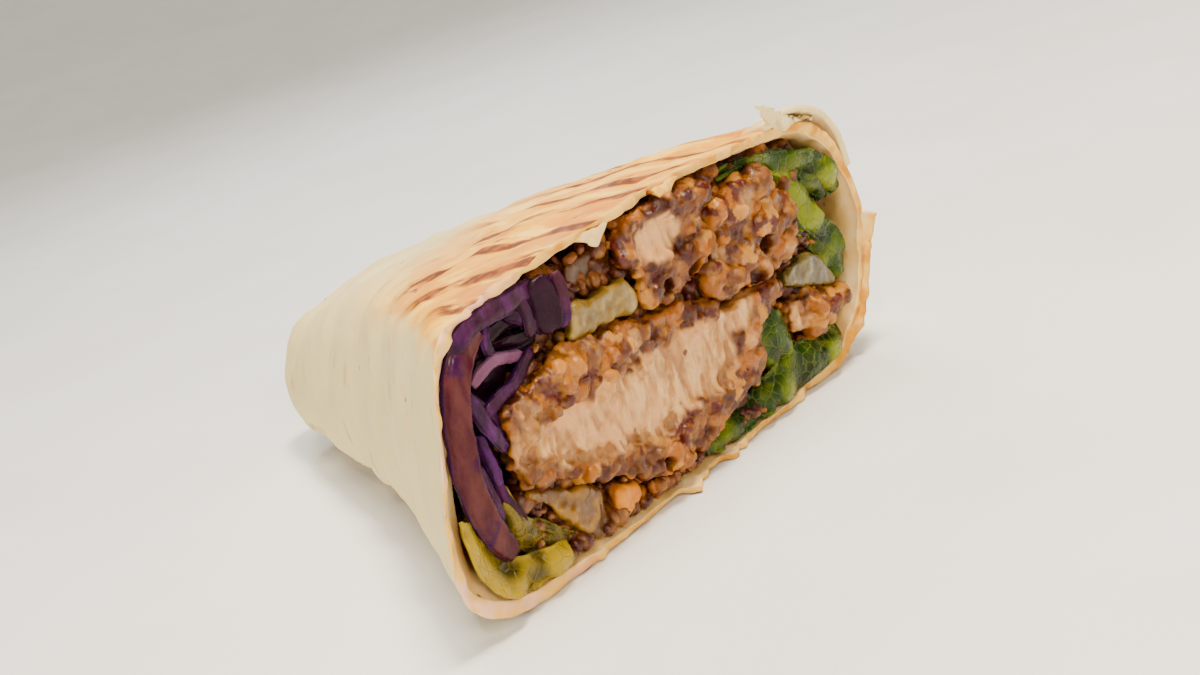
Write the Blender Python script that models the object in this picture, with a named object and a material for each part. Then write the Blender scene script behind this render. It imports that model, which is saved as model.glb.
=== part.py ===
"""Half of a grilled chicken wrap: a rolled flour tortilla, cut through on the slant, with its fillings at the cut.

The wrap lies on the surface z = 0, with the origin under the middle of its bounding box. The cut faces the
front (-Y) and a little to the right, and leans forward at its top. The folded end lies at the back.

What shows at the cut is drawn in the plane of the cut, in millimetres: s runs along the cut from its left
end, and v runs up from the surface. Each layer runs from there through the wrap to the folded end.
"""
import math

import bmesh
import bpy
from mathutils import Vector, noise

MM = 0.001

# The cut and the folded end
CUT_WIDTH = 116 * MM
CUT_LEFT_X = -55.1 * MM
CUT_LEFT_Y = -72.43 * MM
CUT_TURN = math.radians(23.7)
CUT_LEAN = math.tan(math.radians(11.8))
LEAN_PIVOT = 5.4 * MM
END_MIDDLE_X = -6 * MM
END_WIDTH = 80 * MM
END_LEFT_Y = 52.97 * MM
END_RIGHT_Y = 60.97 * MM
END_HEIGHT_SHARE = 0.66
LEFT_WAIST = 4 * MM
RIGHT_BELLY = 2.5 * MM
END_ROUNDING = 0.6
WRAP_HEIGHT = 52 * MM

# The rounded cap that the folded end makes
CAP_DEPTH = 17.5 * MM
CAP_NARROWING = 0.2
CAP_MIDDLE_V = 28 * MM
CAP_ANGLES = (20, 40, 58, 74, 84)
WALL_AT_CAP = 2.4 * MM

# The uneven cut edge of the tortilla, and the share of the length over which it and the layers' faces even out
RIM_WANDER = 1.3 * MM
RIM_WANDER_STEP = 0.31
RIM_FADE = 0.08
FACE_FADE = 0.1

# The loose outer ply: the share of the length on which it closes up, and where and how far it sinks into the end
OVERLAP_CLOSED = 0.3
OVERLAP_SINK_START = 0.6
OVERLAP_END = 0.96
OVERLAP_SINK = 2.2 * MM

# How finely the solids are divided
SAMPLES_PER_SPAN = 3
LEAF_SAMPLES = 2
WALL_STATIONS = (0, 0.03, 0.09, 0.18, 0.3, 0.45, 0.6, 0.76, 0.9, 1)
LAYER_STATIONS = (0, 0.016, 0.036, 0.065, 0.11, 0.2, 0.38, 0.64, 0.93)
LEAF_STATIONS = (0, 0.03, 0.07, 0.13, 0.24, 0.45, 0.7, 0.93)
PLAIN_STATIONS = (0, 0.04, 0.15, 0.5, 0.93)

# The crumbs of the coating and the waves of the leaves
CRUMB = 3.4 * MM
WAVES = 26
WAVE_REACH = 5 * MM

# Outlines at the cut, in millimetres of s and v
WALL_OUTSIDE = [
    (0.5, 12), (2.5, 6), (9, 1.5), (18, 0), (40, 0), (62, 0), (84, 0), (100, 0.2), (109, 4.5), (113.5, 13),
    (115.8, 22), (115.6, 31), (113, 38.5), (107.5, 45.5), (100, 49), (84, 51), (62, 52), (38, 51.4),
    (18, 49.8), (10.5, 47.8), (7, 42.5), (4.6, 34), (2, 24),
]
WALL_INSIDE = [
    (4.2, 13), (5.8, 9), (11, 5.2), (19, 3.4), (40, 2.2), (62, 2.2), (84, 2.6), (98, 3.4), (105.6, 7.2), (110.2, 14),
    (112.6, 22), (112.6, 30.5), (110.2, 36.8), (105.2, 43), (98.6, 46.2), (84, 48.4), (62, 49.5), (38, 49),
    (20, 47.6), (13.2, 45.8), (10, 41.6), (7.6, 33.5), (5.6, 24),
]
OVERLAP_AT_CUT = [(104, 2.6), (109.6, 6.6), (113.4, 13), (116.4, 19), (119.4, 25)]
OVERLAP_LAID = [(104, 2.6), (109.6, 6.6), (113.2, 13), (115.6, 19), (116.6, 25)]
TORN_FLAP = [(104.5, 46.6), (101, 48.8), (96.4, 49.6), (93, 52), (89.6, 55.8)]
TORN_FLAP_WIDTHS = (4.4, 4.2, 3.6, 2.4, 0.5)

FILLET = [
    (36, 34), (50, 32.4), (61, 31), (66.4, 28.6), (71.5, 25.2), (79, 25.4), (85.4, 24.2), (87.6, 21.8),
    (81.6, 19.4), (79.2, 15.2), (79.4, 11.6), (72.5, 8.6), (64, 6.8), (55, 5.6), (46, 6.6), (41, 9.4),
    (34, 12.6), (26.5, 16.4), (20.2, 19.6), (16.8, 24), (18.6, 30), (25, 33.6),
]
STRIP_UPPER = [
    (50.6, 42.6), (51, 47.2), (56, 48.6), (65, 48.6), (72.2, 47.4), (73, 45.6), (70, 42.6), (69.4, 38.8),
    (66.6, 35.4), (61, 33.4), (56.6, 33.6), (52.8, 35.4), (53, 38.8),
]
STRIP_RIGHT = [
    (67.8, 30.4), (68.8, 34.4), (71.4, 37.8), (72, 41.4), (75.6, 44), (83, 44), (89.4, 41), (93.4, 36.4),
    (95, 30.6), (93.2, 27.4), (86.4, 26.8), (79, 27.1), (72.4, 26.9),
]
CHICKEN_END = [
    (89.8, 15.4), (91.2, 18.4), (94.2, 18.2), (97.6, 16.4), (102, 14.8), (106.4, 14.3), (107.4, 12.2),
    (105.8, 10.4), (101.6, 10.7), (96, 11.3), (91.6, 12.4),
]
CUCUMBER = [(35, 35.8), (35.6, 38.6), (36.8, 40.9), (40.4, 40.3), (46, 40.6), (50, 39.2), (51.2, 36.6), (50.4, 34.4), (44, 35)]
CUCUMBER_DEEP = [(37.4, 43.2), (38.6, 46.4), (44, 47), (48.8, 46.2), (49.2, 43.2), (46.4, 42.3), (41, 42.1)]
ONION = [(90, 22), (90.4, 24.4), (96, 25.3), (100.2, 24.2), (103.4, 20.8), (104.8, 17), (101.4, 16.6), (97.4, 18.4)]
SOFT_ONION = [(18.2, 17.8), (21, 17.2), (26, 14.9), (32.6, 11.3), (34.2, 8), (33.8, 3.8), (29.2, 3.6), (26.4, 7.2), (22.8, 12)]
TOMATO = [(35.6, 3.6), (38.6, 3.2), (41.2, 3.6), (42, 6.6), (39.4, 8), (36.2, 8.6)]

LETTUCE_UPPER = [
    (77, 46.4), (86, 46), (95, 44.2), (103, 41.2), (107.6, 37.4), (109.4, 33.6), (107.8, 32.4), (106.2, 35),
    (103.6, 37.4), (100.2, 38.4), (97.4, 35.6), (97.4, 31), (100.6, 27.4), (105, 24), (107.6, 20), (107.4, 17.4),
]
LETTUCE_UPPER_WIDTHS = (1, 1.4, 1.4, 1.4, 1.4, 1.2, 1.2, 1.2, 1.4, 1.6, 2, 2.6, 2.8, 2.8, 2.4, 1.2)
LETTUCE_LOWER = [
    (59.5, 4.4), (68, 4.2), (77, 5.6), (86, 5.4), (95, 5.4), (100.6, 6.3), (102.8, 7.8), (100, 9.1), (94, 9),
    (87.4, 9.8), (83.8, 12.4), (86.6, 15.4), (85, 17.8), (82, 16.8),
]
LETTUCE_LEFT = [(6.7, 19.4), (6.6, 14.4), (8.8, 10), (13, 7), (17.8, 5.8)]
PALE_LEAF = [(15.8, 12.4), (20, 10.2), (24.4, 6)]

CABBAGE_CORE = [
    (9.6, 24), (11, 34), (14, 41.6), (19, 45.4), (26, 46.2), (33.4, 46.6), (34.6, 44), (33.4, 40.4), (29, 38.4),
    (25.4, 36.4), (22, 34.6), (17.8, 31.6), (15.8, 26), (13.6, 20.4), (11, 20),
]
CABBAGE_CORE_START = 0.045
CABBAGE_SHRED_END = 0.075
# Each shred: its line at the cut, its width and how far its face stands in front of the cut, in millimetres
CABBAGE_SHREDS = [
    ([(16.6, 44.4), (12.9, 41.2), (10.9, 36), (9.4, 30), (8.9, 24), (9.7, 18), (11.4, 13.4), (12.8, 10.8)], 3.0, 0.4),
    ([(12.6, 43.2), (17.2, 45.5), (24, 45.9), (30, 46.3)], 2.4, -1.2),
    ([(33.6, 47.2), (33, 43.6), (32.6, 39.9)], 4.2, 0.8),
    ([(13, 39), (13.4, 33.8), (14.8, 29.6), (15.6, 26.8)], 2.2, -0.2),
    ([(14.6, 38), (19, 39.3), (24.4, 38.6)], 1.8, -2.2),
    ([(16.4, 34.8), (21, 35.8), (26.4, 37.6)], 2.0, -1.6),
    ([(14.6, 42.6), (22, 42.8), (29.4, 41.8)], 2.2, -3.2),
]

# Colours as red, green and blue in linear light, with the roughness of the surface
LOOKS = {
    "flour_tortilla": ((0.74, 0.56, 0.34), 0.7),
    "fried_chicken": ((0.36, 0.13, 0.035), 0.5),
    "red_cabbage": ((0.10, 0.022, 0.085), 0.35),
    "green_lettuce": ((0.09, 0.17, 0.02), 0.4),
    "pale_lettuce": ((0.32, 0.30, 0.05), 0.4),
    "cucumber": ((0.40, 0.36, 0.14), 0.25),
    "onion": ((0.46, 0.42, 0.28), 0.3),
    "tomato": ((0.62, 0.19, 0.035), 0.3),
}


def mix(a, b, share):
    return a + (b - a) * share


def smooth(share):
    share = min(1, max(0, share))
    return share * share * (3 - 2 * share)


def rounded(s, v, t):
    """Draws the section's corners in towards the folded end. The underside keeps its height, so it stays flat."""
    amount = END_ROUNDING * smooth(t) / 2
    across = 2 * s / CUT_WIDTH - 1
    up = 2 * v / WRAP_HEIGHT - 1
    new_s = (1 + across * math.sqrt(1 - amount * up**2)) * CUT_WIDTH / 2
    new_v = (1 + up * math.sqrt(1 - amount * min(1, across**2))) * WRAP_HEIGHT / 2 if up > 0 else v
    return new_s, new_v


def place(s, v, t):
    """The point that (s, v) of the cut comes to when it is carried the share t of the way to the folded end."""
    s, v = rounded(s, v, t)
    across = s / CUT_WIDTH
    cut_x = CUT_LEFT_X + s * math.cos(CUT_TURN)
    cut_y = CUT_LEFT_Y + s * math.sin(CUT_TURN) - CUT_LEAN * (v - LEAN_PIVOT)
    end_x = END_MIDDLE_X + (across - 0.5) * END_WIDTH
    end_y = mix(END_LEFT_Y, END_RIGHT_Y, across)
    side = RIGHT_BELLY if across > 0.5 else -LEFT_WAIST
    belly = (2 * across - 1) * side * math.sin(math.pi * t)
    height = 1 - (1 - END_HEIGHT_SHARE) * t**1.5
    return Vector((mix(cut_x, end_x, t) + belly, mix(cut_y, end_y, t), v * height))


def spline_point(p0, p1, p2, p3, share):
    """A point on the Catmull-Rom curve from p1 to p2."""
    return 0.5 * (
        2 * p1
        + (p2 - p0) * share
        + (2 * p0 - 5 * p1 + 4 * p2 - p3) * share**2
        + (3 * p1 - p0 - 3 * p2 + p3) * share**3
    )


def closed_curve(points, samples=SAMPLES_PER_SPAN):
    """A smooth closed curve through points given in millimetres, as points in metres."""
    corners = [Vector(p) * MM for p in points]
    count = len(corners)
    return [
        spline_point(corners[i - 1], corners[i], corners[(i + 1) % count], corners[(i + 2) % count], k / samples)
        for i in range(count)
        for k in range(samples)
    ]


def open_curve(points, samples=SAMPLES_PER_SPAN):
    """A smooth open curve through points given in millimetres, as points in metres."""
    corners = [Vector(p) * MM for p in points]
    corners = [2 * corners[0] - corners[1], *corners, 2 * corners[-1] - corners[-2]]
    curve = [
        spline_point(*corners[i : i + 4], k / samples) for i in range(len(corners) - 3) for k in range(samples)
    ]
    return [*curve, corners[-2]]


def normals_of(curve, closed):
    """Unit normals of a plane curve, to the right of its direction."""
    last = len(curve) - 1
    found = []
    for i in range(len(curve)):
        before = curve[i - 1] if closed or i else curve[0]
        after = curve[(i + 1) % len(curve)] if closed or i < last else curve[last]
        along = (after - before).normalized()
        found.append(Vector((along.y, -along.x)))
    return found


def band(points, widths, samples=SAMPLES_PER_SPAN):
    """The closed outline of a band of the given width or widths, in millimetres, along a smooth line."""
    line = open_curve(points, samples)
    if isinstance(widths, (int, float)):
        widths = [widths] * len(points)
    sides = []
    for i, (point, normal) in enumerate(zip(line, normals_of(line, closed=False))):
        span = min(i // samples, len(points) - 2)
        half = mix(widths[span], widths[span + 1], i / samples - span) * MM / 2
        sides.append((point + normal * half, point - normal * half))
    return [right for right, _ in sides] + [left for _, left in reversed(sides)]


def crag(point, size):
    """0 on top of a crumb of the coating and 1 in the cracks between crumbs of that size."""
    nearest = noise.voronoi(point / size)[0]
    return min(1, 1.6 * nearest[0])


def new_object(name, mesh_data, look):
    colour, roughness = LOOKS[look]
    material = bpy.data.materials.get(look)
    if material is None:
        material = bpy.data.materials.new(look)
        material.use_nodes = True
        shader = material.node_tree.nodes["Principled BSDF"]
        shader.inputs["Base Color"].default_value = (*colour, 1)
        shader.inputs["Roughness"].default_value = roughness
        shader.inputs["Metallic"].default_value = 0
    mesh = bpy.data.meshes.new(name)
    mesh_data.to_mesh(mesh)
    mesh_data.free()
    mesh.materials.append(material)
    obj = bpy.data.objects.new(name, mesh)
    WRAP.objects.link(obj)
    return obj


def skin(mesh, rings):
    """Joins rings of points, given in order, into a closed skin. Both faces of a band are split alike."""
    loops = [[mesh.verts.new(point) for point in ring] for ring in rings]
    count = len(loops[0])
    for near, far in zip(loops, loops[1:]):
        for i in range(count):
            after = (i + 1) % count
            if i < count // 2:
                mesh.faces.new((near[i], near[after], far[after]))
                mesh.faces.new((near[i], far[after], far[i]))
            else:
                mesh.faces.new((near[i], near[after], far[i]))
                mesh.faces.new((near[after], far[after], far[i]))
    mesh.faces.new(loops[0])
    mesh.faces.new(list(reversed(loops[-1])))


def finish_mesh(mesh):
    mesh.normal_update()
    bmesh.ops.triangulate(mesh, faces=mesh.faces[:], ngon_method="EAR_CLIP")
    bmesh.ops.recalc_face_normals(mesh, faces=mesh.faces[:])


def layer(name, outline, look, front=0.0, crags=0.0, wave=0.0, stations=LAYER_STATIONS, outline_at=None):
    """A layer of the filling, from the cut to near the folded end.

    outline is its edge at the cut. In millimetres, front is how far its face stands in front of the cut, crags
    is the depth of the cracks in its coating, and wave is how far it moves up and down along its length.
    """
    mesh = bmesh.new()
    rings = []
    for t in stations:
        ring_outline = outline_at(t) if outline_at else outline
        normals = normals_of(ring_outline, closed=True)
        forward = front * MM * (1 - smooth((t - stations[0]) / FACE_FADE))
        ring = []
        for edge, normal in zip(ring_outline, normals):
            point = place(edge.x, edge.y, t)
            if crags:
                inner = edge + normal * crags * MM * crag(point, CRUMB)
                point = place(inner.x, inner.y, t)
            point.y -= forward
            point.z += wave * MM * math.sin(t * WAVES + edge.x / WAVE_REACH)
            ring.append(point)
        rings.append(ring)
    skin(mesh, rings)
    finish_mesh(mesh)
    return new_object(name, mesh, look)


def union_all(base, extras):
    """Joins the extra solids to the base one and removes them."""
    pieces = bpy.data.collections.new("pieces_to_join")
    for extra in extras:
        WRAP.objects.unlink(extra)
        pieces.objects.link(extra)
    join = base.modifiers.new("join", "BOOLEAN")
    join.operation = "UNION"
    join.operand_type = "COLLECTION"
    join.collection = pieces
    bpy.context.scene.collection.children.link(pieces)
    bpy.context.view_layer.update()
    graph = bpy.context.evaluated_depsgraph_get()
    joined = bpy.data.meshes.new_from_object(base.evaluated_get(graph))
    base.modifiers.remove(join)
    base.data = joined
    for extra in extras:
        bpy.data.objects.remove(extra)
    bpy.data.collections.remove(pieces)
    return base


def rim_wander(i):
    """How far the cut edge of the tortilla wanders in front of the cut at sample i, in metres."""
    return RIM_WANDER * noise.noise(Vector((i * RIM_WANDER_STEP, 3.7, 0)))


def cap_ring(outline, angle, depth):
    """The tortilla's section on the rounded cap of the folded end."""
    narrow = 1 - CAP_NARROWING * (1 - math.cos(angle))
    middle = CUT_WIDTH / 2
    ring = []
    for edge in outline:
        s = middle + (edge.x - middle) * narrow
        v = CAP_MIDDLE_V + (edge.y - CAP_MIDDLE_V) * math.cos(angle)
        ring.append(place(s, v, 1) + Vector((0, depth * math.sin(angle), 0)))
    return ring


def wall_rings(outline, last_station, cap_depth):
    """Rings of one face of the tortilla, from the cut over the folded end."""
    rings = []
    for t in WALL_STATIONS:
        ring = [place(edge.x, edge.y, t * last_station) for edge in outline]
        for i, point in enumerate(ring):
            point.y -= rim_wander(i) * (1 - smooth(t / RIM_FADE))
        rings.append(ring)
    return rings + [cap_ring(outline, math.radians(a), cap_depth) for a in CAP_ANGLES]


def make_tortilla():
    """The rolled tortilla: an open sack, with the loose end of the roll up its right side and a torn flap."""
    outside = closed_curve(WALL_OUTSIDE)
    outside = [Vector((edge.x, max(0, edge.y))) for edge in outside]
    inside = closed_curve(WALL_INSIDE)
    outer_rings = wall_rings(outside, 1, CAP_DEPTH)
    inner_rings = wall_rings(inside, 1, CAP_DEPTH - WALL_AT_CAP)
    mesh = bmesh.new()
    skin(mesh, [*reversed(inner_rings), *outer_rings])
    finish_mesh(mesh)
    tortilla = new_object("tortilla", mesh, "flour_tortilla")

    loose = band(OVERLAP_AT_CUT, (1.0, 1.8, 1.8, 1.6, 1.1), LEAF_SAMPLES)
    laid = band(OVERLAP_LAID, (1.0, 1.8, 2.2, 2.2, 1.6), LEAF_SAMPLES)

    def overlap_at(t):
        sinking = (t - OVERLAP_SINK_START) / (OVERLAP_END - OVERLAP_SINK_START)
        sunk = Vector((OVERLAP_SINK * smooth(sinking), 0))
        return [a.lerp(b, smooth(t / OVERLAP_CLOSED)) - sunk for a, b in zip(loose, laid)]

    stations = WALL_STATIONS[:-1] + (OVERLAP_END,)
    overlap = layer("overlap", loose, "flour_tortilla", front=0.9, stations=stations, outline_at=overlap_at)
    flap = layer("flap", band(TORN_FLAP, TORN_FLAP_WIDTHS), "flour_tortilla", front=0.6, stations=(0, 0.012, 0.02))
    return union_all(tortilla, [overlap, flap])


def make_chicken():
    layer("chicken_fillet", closed_curve(FILLET, 4), "fried_chicken", front=0.8, crags=1.3)
    layer("chicken_strip_upper", closed_curve(STRIP_UPPER, 4), "fried_chicken", front=0.4, crags=1.3)
    layer("chicken_strip_right", closed_curve(STRIP_RIGHT, 4), "fried_chicken", front=0.2, crags=1.4)
    layer("chicken_end", closed_curve(CHICKEN_END), "fried_chicken", front=-0.8, crags=0.8, stations=LEAF_STATIONS)


def make_leaves():
    for name, line, widths, look, front, wave in (
        ("lettuce_upper", LETTUCE_UPPER, LETTUCE_UPPER_WIDTHS, "green_lettuce", -0.6, 0.3),
        ("lettuce_lower", LETTUCE_LOWER, 1.2, "green_lettuce", -0.4, 0.4),
        ("lettuce_left", LETTUCE_LEFT, 1.8, "pale_lettuce", -0.4, 0.3),
        ("lettuce_pale", PALE_LEAF, 1.6, "pale_lettuce", -0.8, 0.3),
    ):
        layer(name, band(line, widths, LEAF_SAMPLES), look, front, wave=wave, stations=LEAF_STATIONS)


def make_vegetables():
    for name, outline, look, front in (
        ("cucumber", CUCUMBER, "cucumber", -0.4),
        ("cucumber_deep", CUCUMBER_DEEP, "cucumber", -2.6),
        ("onion", ONION, "onion", -0.6),
        ("onion_soft", SOFT_ONION, "onion", -0.8),
        ("tomato", TOMATO, "tomato", -0.2),
    ):
        layer(name, closed_curve(outline), look, front, stations=PLAIN_STATIONS)


def make_cabbage():
    """The red cabbage: a heap with the shreds that show at the cut fused to its core."""
    core_stations = [CABBAGE_CORE_START] + [t for t in LAYER_STATIONS if t > CABBAGE_CORE_START + 0.05]
    core = layer("red_cabbage", closed_curve(CABBAGE_CORE, 2), "red_cabbage", stations=core_stations)
    shreds = []
    for i, (line, width, front) in enumerate(CABBAGE_SHREDS):
        end = CABBAGE_SHRED_END + 0.005 * i
        outline = band(line, width, LEAF_SAMPLES)
        shreds.append(layer(f"shred_{i}", outline, "red_cabbage", front, stations=(0, 0.03, end)))
    return union_all(core, shreds)


for old in list(bpy.data.objects):
    bpy.data.objects.remove(old)
WRAP = bpy.data.collections.new("chicken_wrap")
bpy.context.scene.collection.children.link(WRAP)

make_tortilla()
make_chicken()
make_cabbage()
make_leaves()
make_vegetables()
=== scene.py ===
"""How half a grilled chicken wrap looks, built round its solids.

Shapes are worked out in millimetres. What shows at the cut is drawn in the plane of the cut: s runs along
the cut from its left end, v runs up from the surface, and d runs back from the cut into the wrap.
"""
import itertools
import math

import bmesh
import bpy
import numpy as np
from mathutils import Matrix, Vector


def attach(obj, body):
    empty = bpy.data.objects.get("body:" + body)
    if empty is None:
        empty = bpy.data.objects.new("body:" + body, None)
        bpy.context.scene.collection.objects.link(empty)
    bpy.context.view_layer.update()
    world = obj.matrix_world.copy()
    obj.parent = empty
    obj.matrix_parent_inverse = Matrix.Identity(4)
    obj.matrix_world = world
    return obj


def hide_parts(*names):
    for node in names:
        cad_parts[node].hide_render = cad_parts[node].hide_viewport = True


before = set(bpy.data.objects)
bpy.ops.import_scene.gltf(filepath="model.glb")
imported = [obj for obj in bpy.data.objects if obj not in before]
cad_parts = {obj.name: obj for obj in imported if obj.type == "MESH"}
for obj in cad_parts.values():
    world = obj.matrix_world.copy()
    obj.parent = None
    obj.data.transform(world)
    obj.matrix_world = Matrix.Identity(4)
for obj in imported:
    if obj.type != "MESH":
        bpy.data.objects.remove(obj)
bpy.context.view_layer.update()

MM = 0.001

# The cut and the folded end, as in the solids
CUT_WIDTH = 116
CUT_LEFT_X = -55.1
CUT_LEFT_Y = -72.43
CUT_TURN = math.radians(23.7)
CUT_LEAN = math.tan(math.radians(11.8))
LEAN_PIVOT = 5.4
END_MIDDLE_X = -6
END_WIDTH = 80
END_LEFT_Y = 52.97
END_RIGHT_Y = 60.97
END_HEIGHT_SHARE = 0.66
LEFT_WAIST = 4
RIGHT_BELLY = 2.5
END_ROUNDING = 0.6
WRAP_HEIGHT = 52
CAP_DEPTH = 17.5
CAP_NARROWING = 0.2
CAP_MIDDLE_V = 28
WALL_AT_CAP = 2.4
LAYER_END = 0.93

# How colours are changed to look right in the render
DEEPENING = 1.15
PURER = 1.25
DARKEST = 0.002

# Outlines at the cut, as in the solids
WALL_OUTSIDE = [
    (0.5, 12), (2.5, 6), (9, 1.5), (18, 0), (40, 0), (62, 0), (84, 0), (100, 0.2), (109, 4.5),
    (113.5, 13), (115.8, 22), (115.6, 31), (113, 38.5), (107.5, 45.5), (100, 49), (84, 51), (62, 52),
    (38, 51.4), (18, 49.8), (10.5, 47.8), (7, 42.5), (4.6, 34), (2, 24),
]
WALL_INSIDE = [
    (4.2, 13), (5.8, 9), (11, 5.2), (19, 3.4), (40, 2.2), (62, 2.2), (84, 2.6), (98, 3.4), (105.6, 7.2),
    (110.2, 14), (112.6, 22), (112.6, 30.5), (110.2, 36.8), (105.2, 43), (98.6, 46.2), (84, 48.4),
    (62, 49.5), (38, 49), (20, 47.6), (13.2, 45.8), (10, 41.6), (7.6, 33.5), (5.6, 24),
]
OVERLAP_AT_CUT = [(104, 2.6), (109.6, 6.6), (113.4, 13), (116.4, 19), (119.4, 25)]
OVERLAP_LAID = [(104, 2.6), (109.6, 6.6), (113.2, 13), (115.6, 19), (116.6, 25)]
FILLET = [
    (16.8, 24), (18.6, 30), (25, 33.6), (36, 34), (50, 32.4), (61, 31), (66.4, 28.6), (71.5, 25.2),
    (79, 25.4), (85.4, 24.2), (87.6, 21.8), (81.6, 19.4), (79.2, 15.2), (79.4, 11.6), (72.5, 8.6),
    (64, 6.8), (55, 5.6), (46, 6.6), (41, 9.4), (34, 12.6), (26.5, 16.4), (20.2, 19.6),
]
STRIP_UPPER = [
    (50.6, 42.6), (51, 47.2), (56, 48.6), (65, 48.6), (72.2, 47.4), (73, 45.6), (70, 42.6), (69.4, 38.8),
    (66.6, 35.4), (61, 33.4), (56.6, 33.6), (52.8, 35.4), (53, 38.8),
]
STRIP_RIGHT = [
    (67.8, 30.4), (68.8, 34.4), (71.4, 37.8), (72, 41.4), (75.6, 44), (83, 44), (89.4, 41), (93.4, 36.4),
    (95, 30.6), (93.2, 27.4), (86.4, 26.8), (79, 27.1), (72.4, 26.9),
]
CHICKEN_END = [
    (89.8, 15.4), (91.2, 18.4), (94.2, 18.2), (97.6, 16.4), (102, 14.8), (106.4, 14.3), (107.4, 12.2),
    (105.8, 10.4), (101.6, 10.7), (96, 11.3), (91.6, 12.4),
]
CUCUMBER = [
    (35, 35.8), (35.6, 38.6), (36.8, 40.9), (40.4, 40.3), (46, 40.6), (50, 39.2), (51.2, 36.6),
    (50.4, 34.4), (44, 35),
]
CUCUMBER_DEEP = [
    (37.4, 43.2), (38.6, 46.4), (44, 47), (48.8, 46.2), (49.2, 43.2), (46.4, 42.3), (41, 42.1),
]
ONION = [
    (90, 22), (90.4, 24.4), (96, 25.3), (100.2, 24.2), (103.4, 20.8), (104.8, 17), (101.4, 16.6),
    (97.4, 18.4),
]
SOFT_ONION = [
    (18.2, 17.8), (21, 17.2), (26, 14.9), (32.6, 11.3), (34.2, 8), (33.8, 3.8), (29.2, 3.6), (26.4, 7.2),
    (22.8, 12),
]
TOMATO = [(35.6, 3.6), (38.6, 3.2), (41.2, 3.6), (42, 6.6), (39.4, 8), (36.2, 8.6)]
CABBAGE_CORE = [
    (9.6, 24), (11, 34), (14, 41.6), (19, 45.4), (26, 46.2), (33.4, 46.6), (34.6, 44), (33.4, 40.4),
    (29, 38.4), (25.4, 36.4), (22, 34.6), (17.8, 31.6), (15.8, 26), (13.6, 20.4), (11, 20),
]
LETTUCE_UPPER = [
    (77, 46.4), (86, 46), (95, 44.2), (103, 41.2), (107.6, 37.4), (109.4, 33.6), (107.8, 32.4),
    (106.2, 35), (103.6, 37.4), (100.2, 38.4), (97.4, 35.6), (97.4, 31), (100.6, 27.4), (105, 24),
    (107.6, 20), (107.4, 17.4),
]
LETTUCE_LOWER = [
    (59.5, 4.4), (68, 4.2), (77, 5.6), (86, 5.4), (95, 5.4), (100.6, 6.3), (102.8, 7.8), (100, 9.1),
    (94, 9), (87.4, 9.8), (83.8, 12.4), (86.6, 15.4), (85, 17.8), (82, 16.8),
]
LETTUCE_LEFT = [(6.7, 19.4), (6.6, 14.4), (8.8, 10), (13, 7), (17.8, 5.8)]
PALE_LEAF = [(15.8, 12.4), (20, 10.2), (24.4, 6)]

# The pale meat that the cut lays open, inside the breading
FILLET_MEAT = [
    (23.5, 25.6), (30, 27.4), (40, 27), (52, 26.8), (62, 26.4), (72, 25.4), (79.4, 25.6), (77.6, 21.4),
    (72.4, 20), (70, 15), (64.4, 12.6), (57, 14), (50.6, 11.8), (45.4, 13.2), (38, 15.4), (31, 17.2),
    (25.4, 20.6),
]
STRIP_UPPER_MEAT = [
    (52.4, 42), (53.2, 46.4), (58, 47.2), (63.6, 46), (65.8, 43.2), (63, 40.6), (57.6, 40),
]
CHICKEN_END_MEAT = [(89.6, 14.4), (91, 18.6), (93.8, 17.6), (94.4, 13.6), (92, 11.8)]
NO_MEAT = [(0, -90), (1, -90), (1, -89)]


def tint(red, green, blue):
    """A colour given from 0 to 255, as on a screen, in linear light, and purer, as the view pales it."""
    shares = [((channel / 255 + 0.055) / 1.055) ** (2.4 * DEEPENING) for channel in (red, green, blue)]
    grey = 0.21 * shares[0] + 0.72 * shares[1] + 0.07 * shares[2]
    return tuple(max(DARKEST, grey + (share - grey) * PURER) for share in shares) + (1,)


def smooth(share):
    share = np.clip(share, 0, 1)
    return share * share * (3 - 2 * share)


def rounded(s, v, t):
    amount = END_ROUNDING * smooth(t) / 2
    across = 2 * s / CUT_WIDTH - 1
    up = 2 * v / WRAP_HEIGHT - 1
    new_s = (1 + across * np.sqrt(1 - amount * up**2)) * CUT_WIDTH / 2
    raised = (1 + up * np.sqrt(1 - amount * np.minimum(1, across**2))) * WRAP_HEIGHT / 2
    return new_s, np.where(up > 0, raised, v)


def place(s, v, t):
    """Where the points (s, v) of the cut come to at the share t of the way to the folded end."""
    s, v, t = np.broadcast_arrays(np.asarray(s, float), v, t)
    s, v = rounded(s, v, t)
    across = s / CUT_WIDTH
    cut_x = CUT_LEFT_X + s * math.cos(CUT_TURN)
    cut_y = CUT_LEFT_Y + s * math.sin(CUT_TURN) - CUT_LEAN * (v - LEAN_PIVOT)
    end_x = END_MIDDLE_X + (across - 0.5) * END_WIDTH
    end_y = END_LEFT_Y + across * (END_RIGHT_Y - END_LEFT_Y)
    belly = (2 * across - 1) * np.where(across > 0.5, RIGHT_BELLY, -LEFT_WAIST) * np.sin(math.pi * t)
    height = 1 - (1 - END_HEIGHT_SHARE) * t**1.5
    return np.stack([cut_x + (end_x - cut_x) * t + belly, cut_y + (end_y - cut_y) * t, v * height], axis=-1)


def at(s, v, d):
    """The points at (s, v) and the depth d behind the cut."""
    s, v, d = np.broadcast_arrays(np.asarray(s, float), v, d)
    length = place(s, v, 1)[..., 1] - place(s, v, 0)[..., 1]
    points = place(s, v, np.maximum(d, 0) / length)
    points[..., 1] += np.minimum(d, 0)
    return points


def cut_coordinates(points):
    """s, v and d of points near the cut."""
    s = (points[:, 0] - CUT_LEFT_X) / math.cos(CUT_TURN)
    v = points[:, 2]
    d = points[:, 1] - (CUT_LEFT_Y + s * math.sin(CUT_TURN) - CUT_LEAN * (v - LEAN_PIVOT))
    return s, v, d


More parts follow.
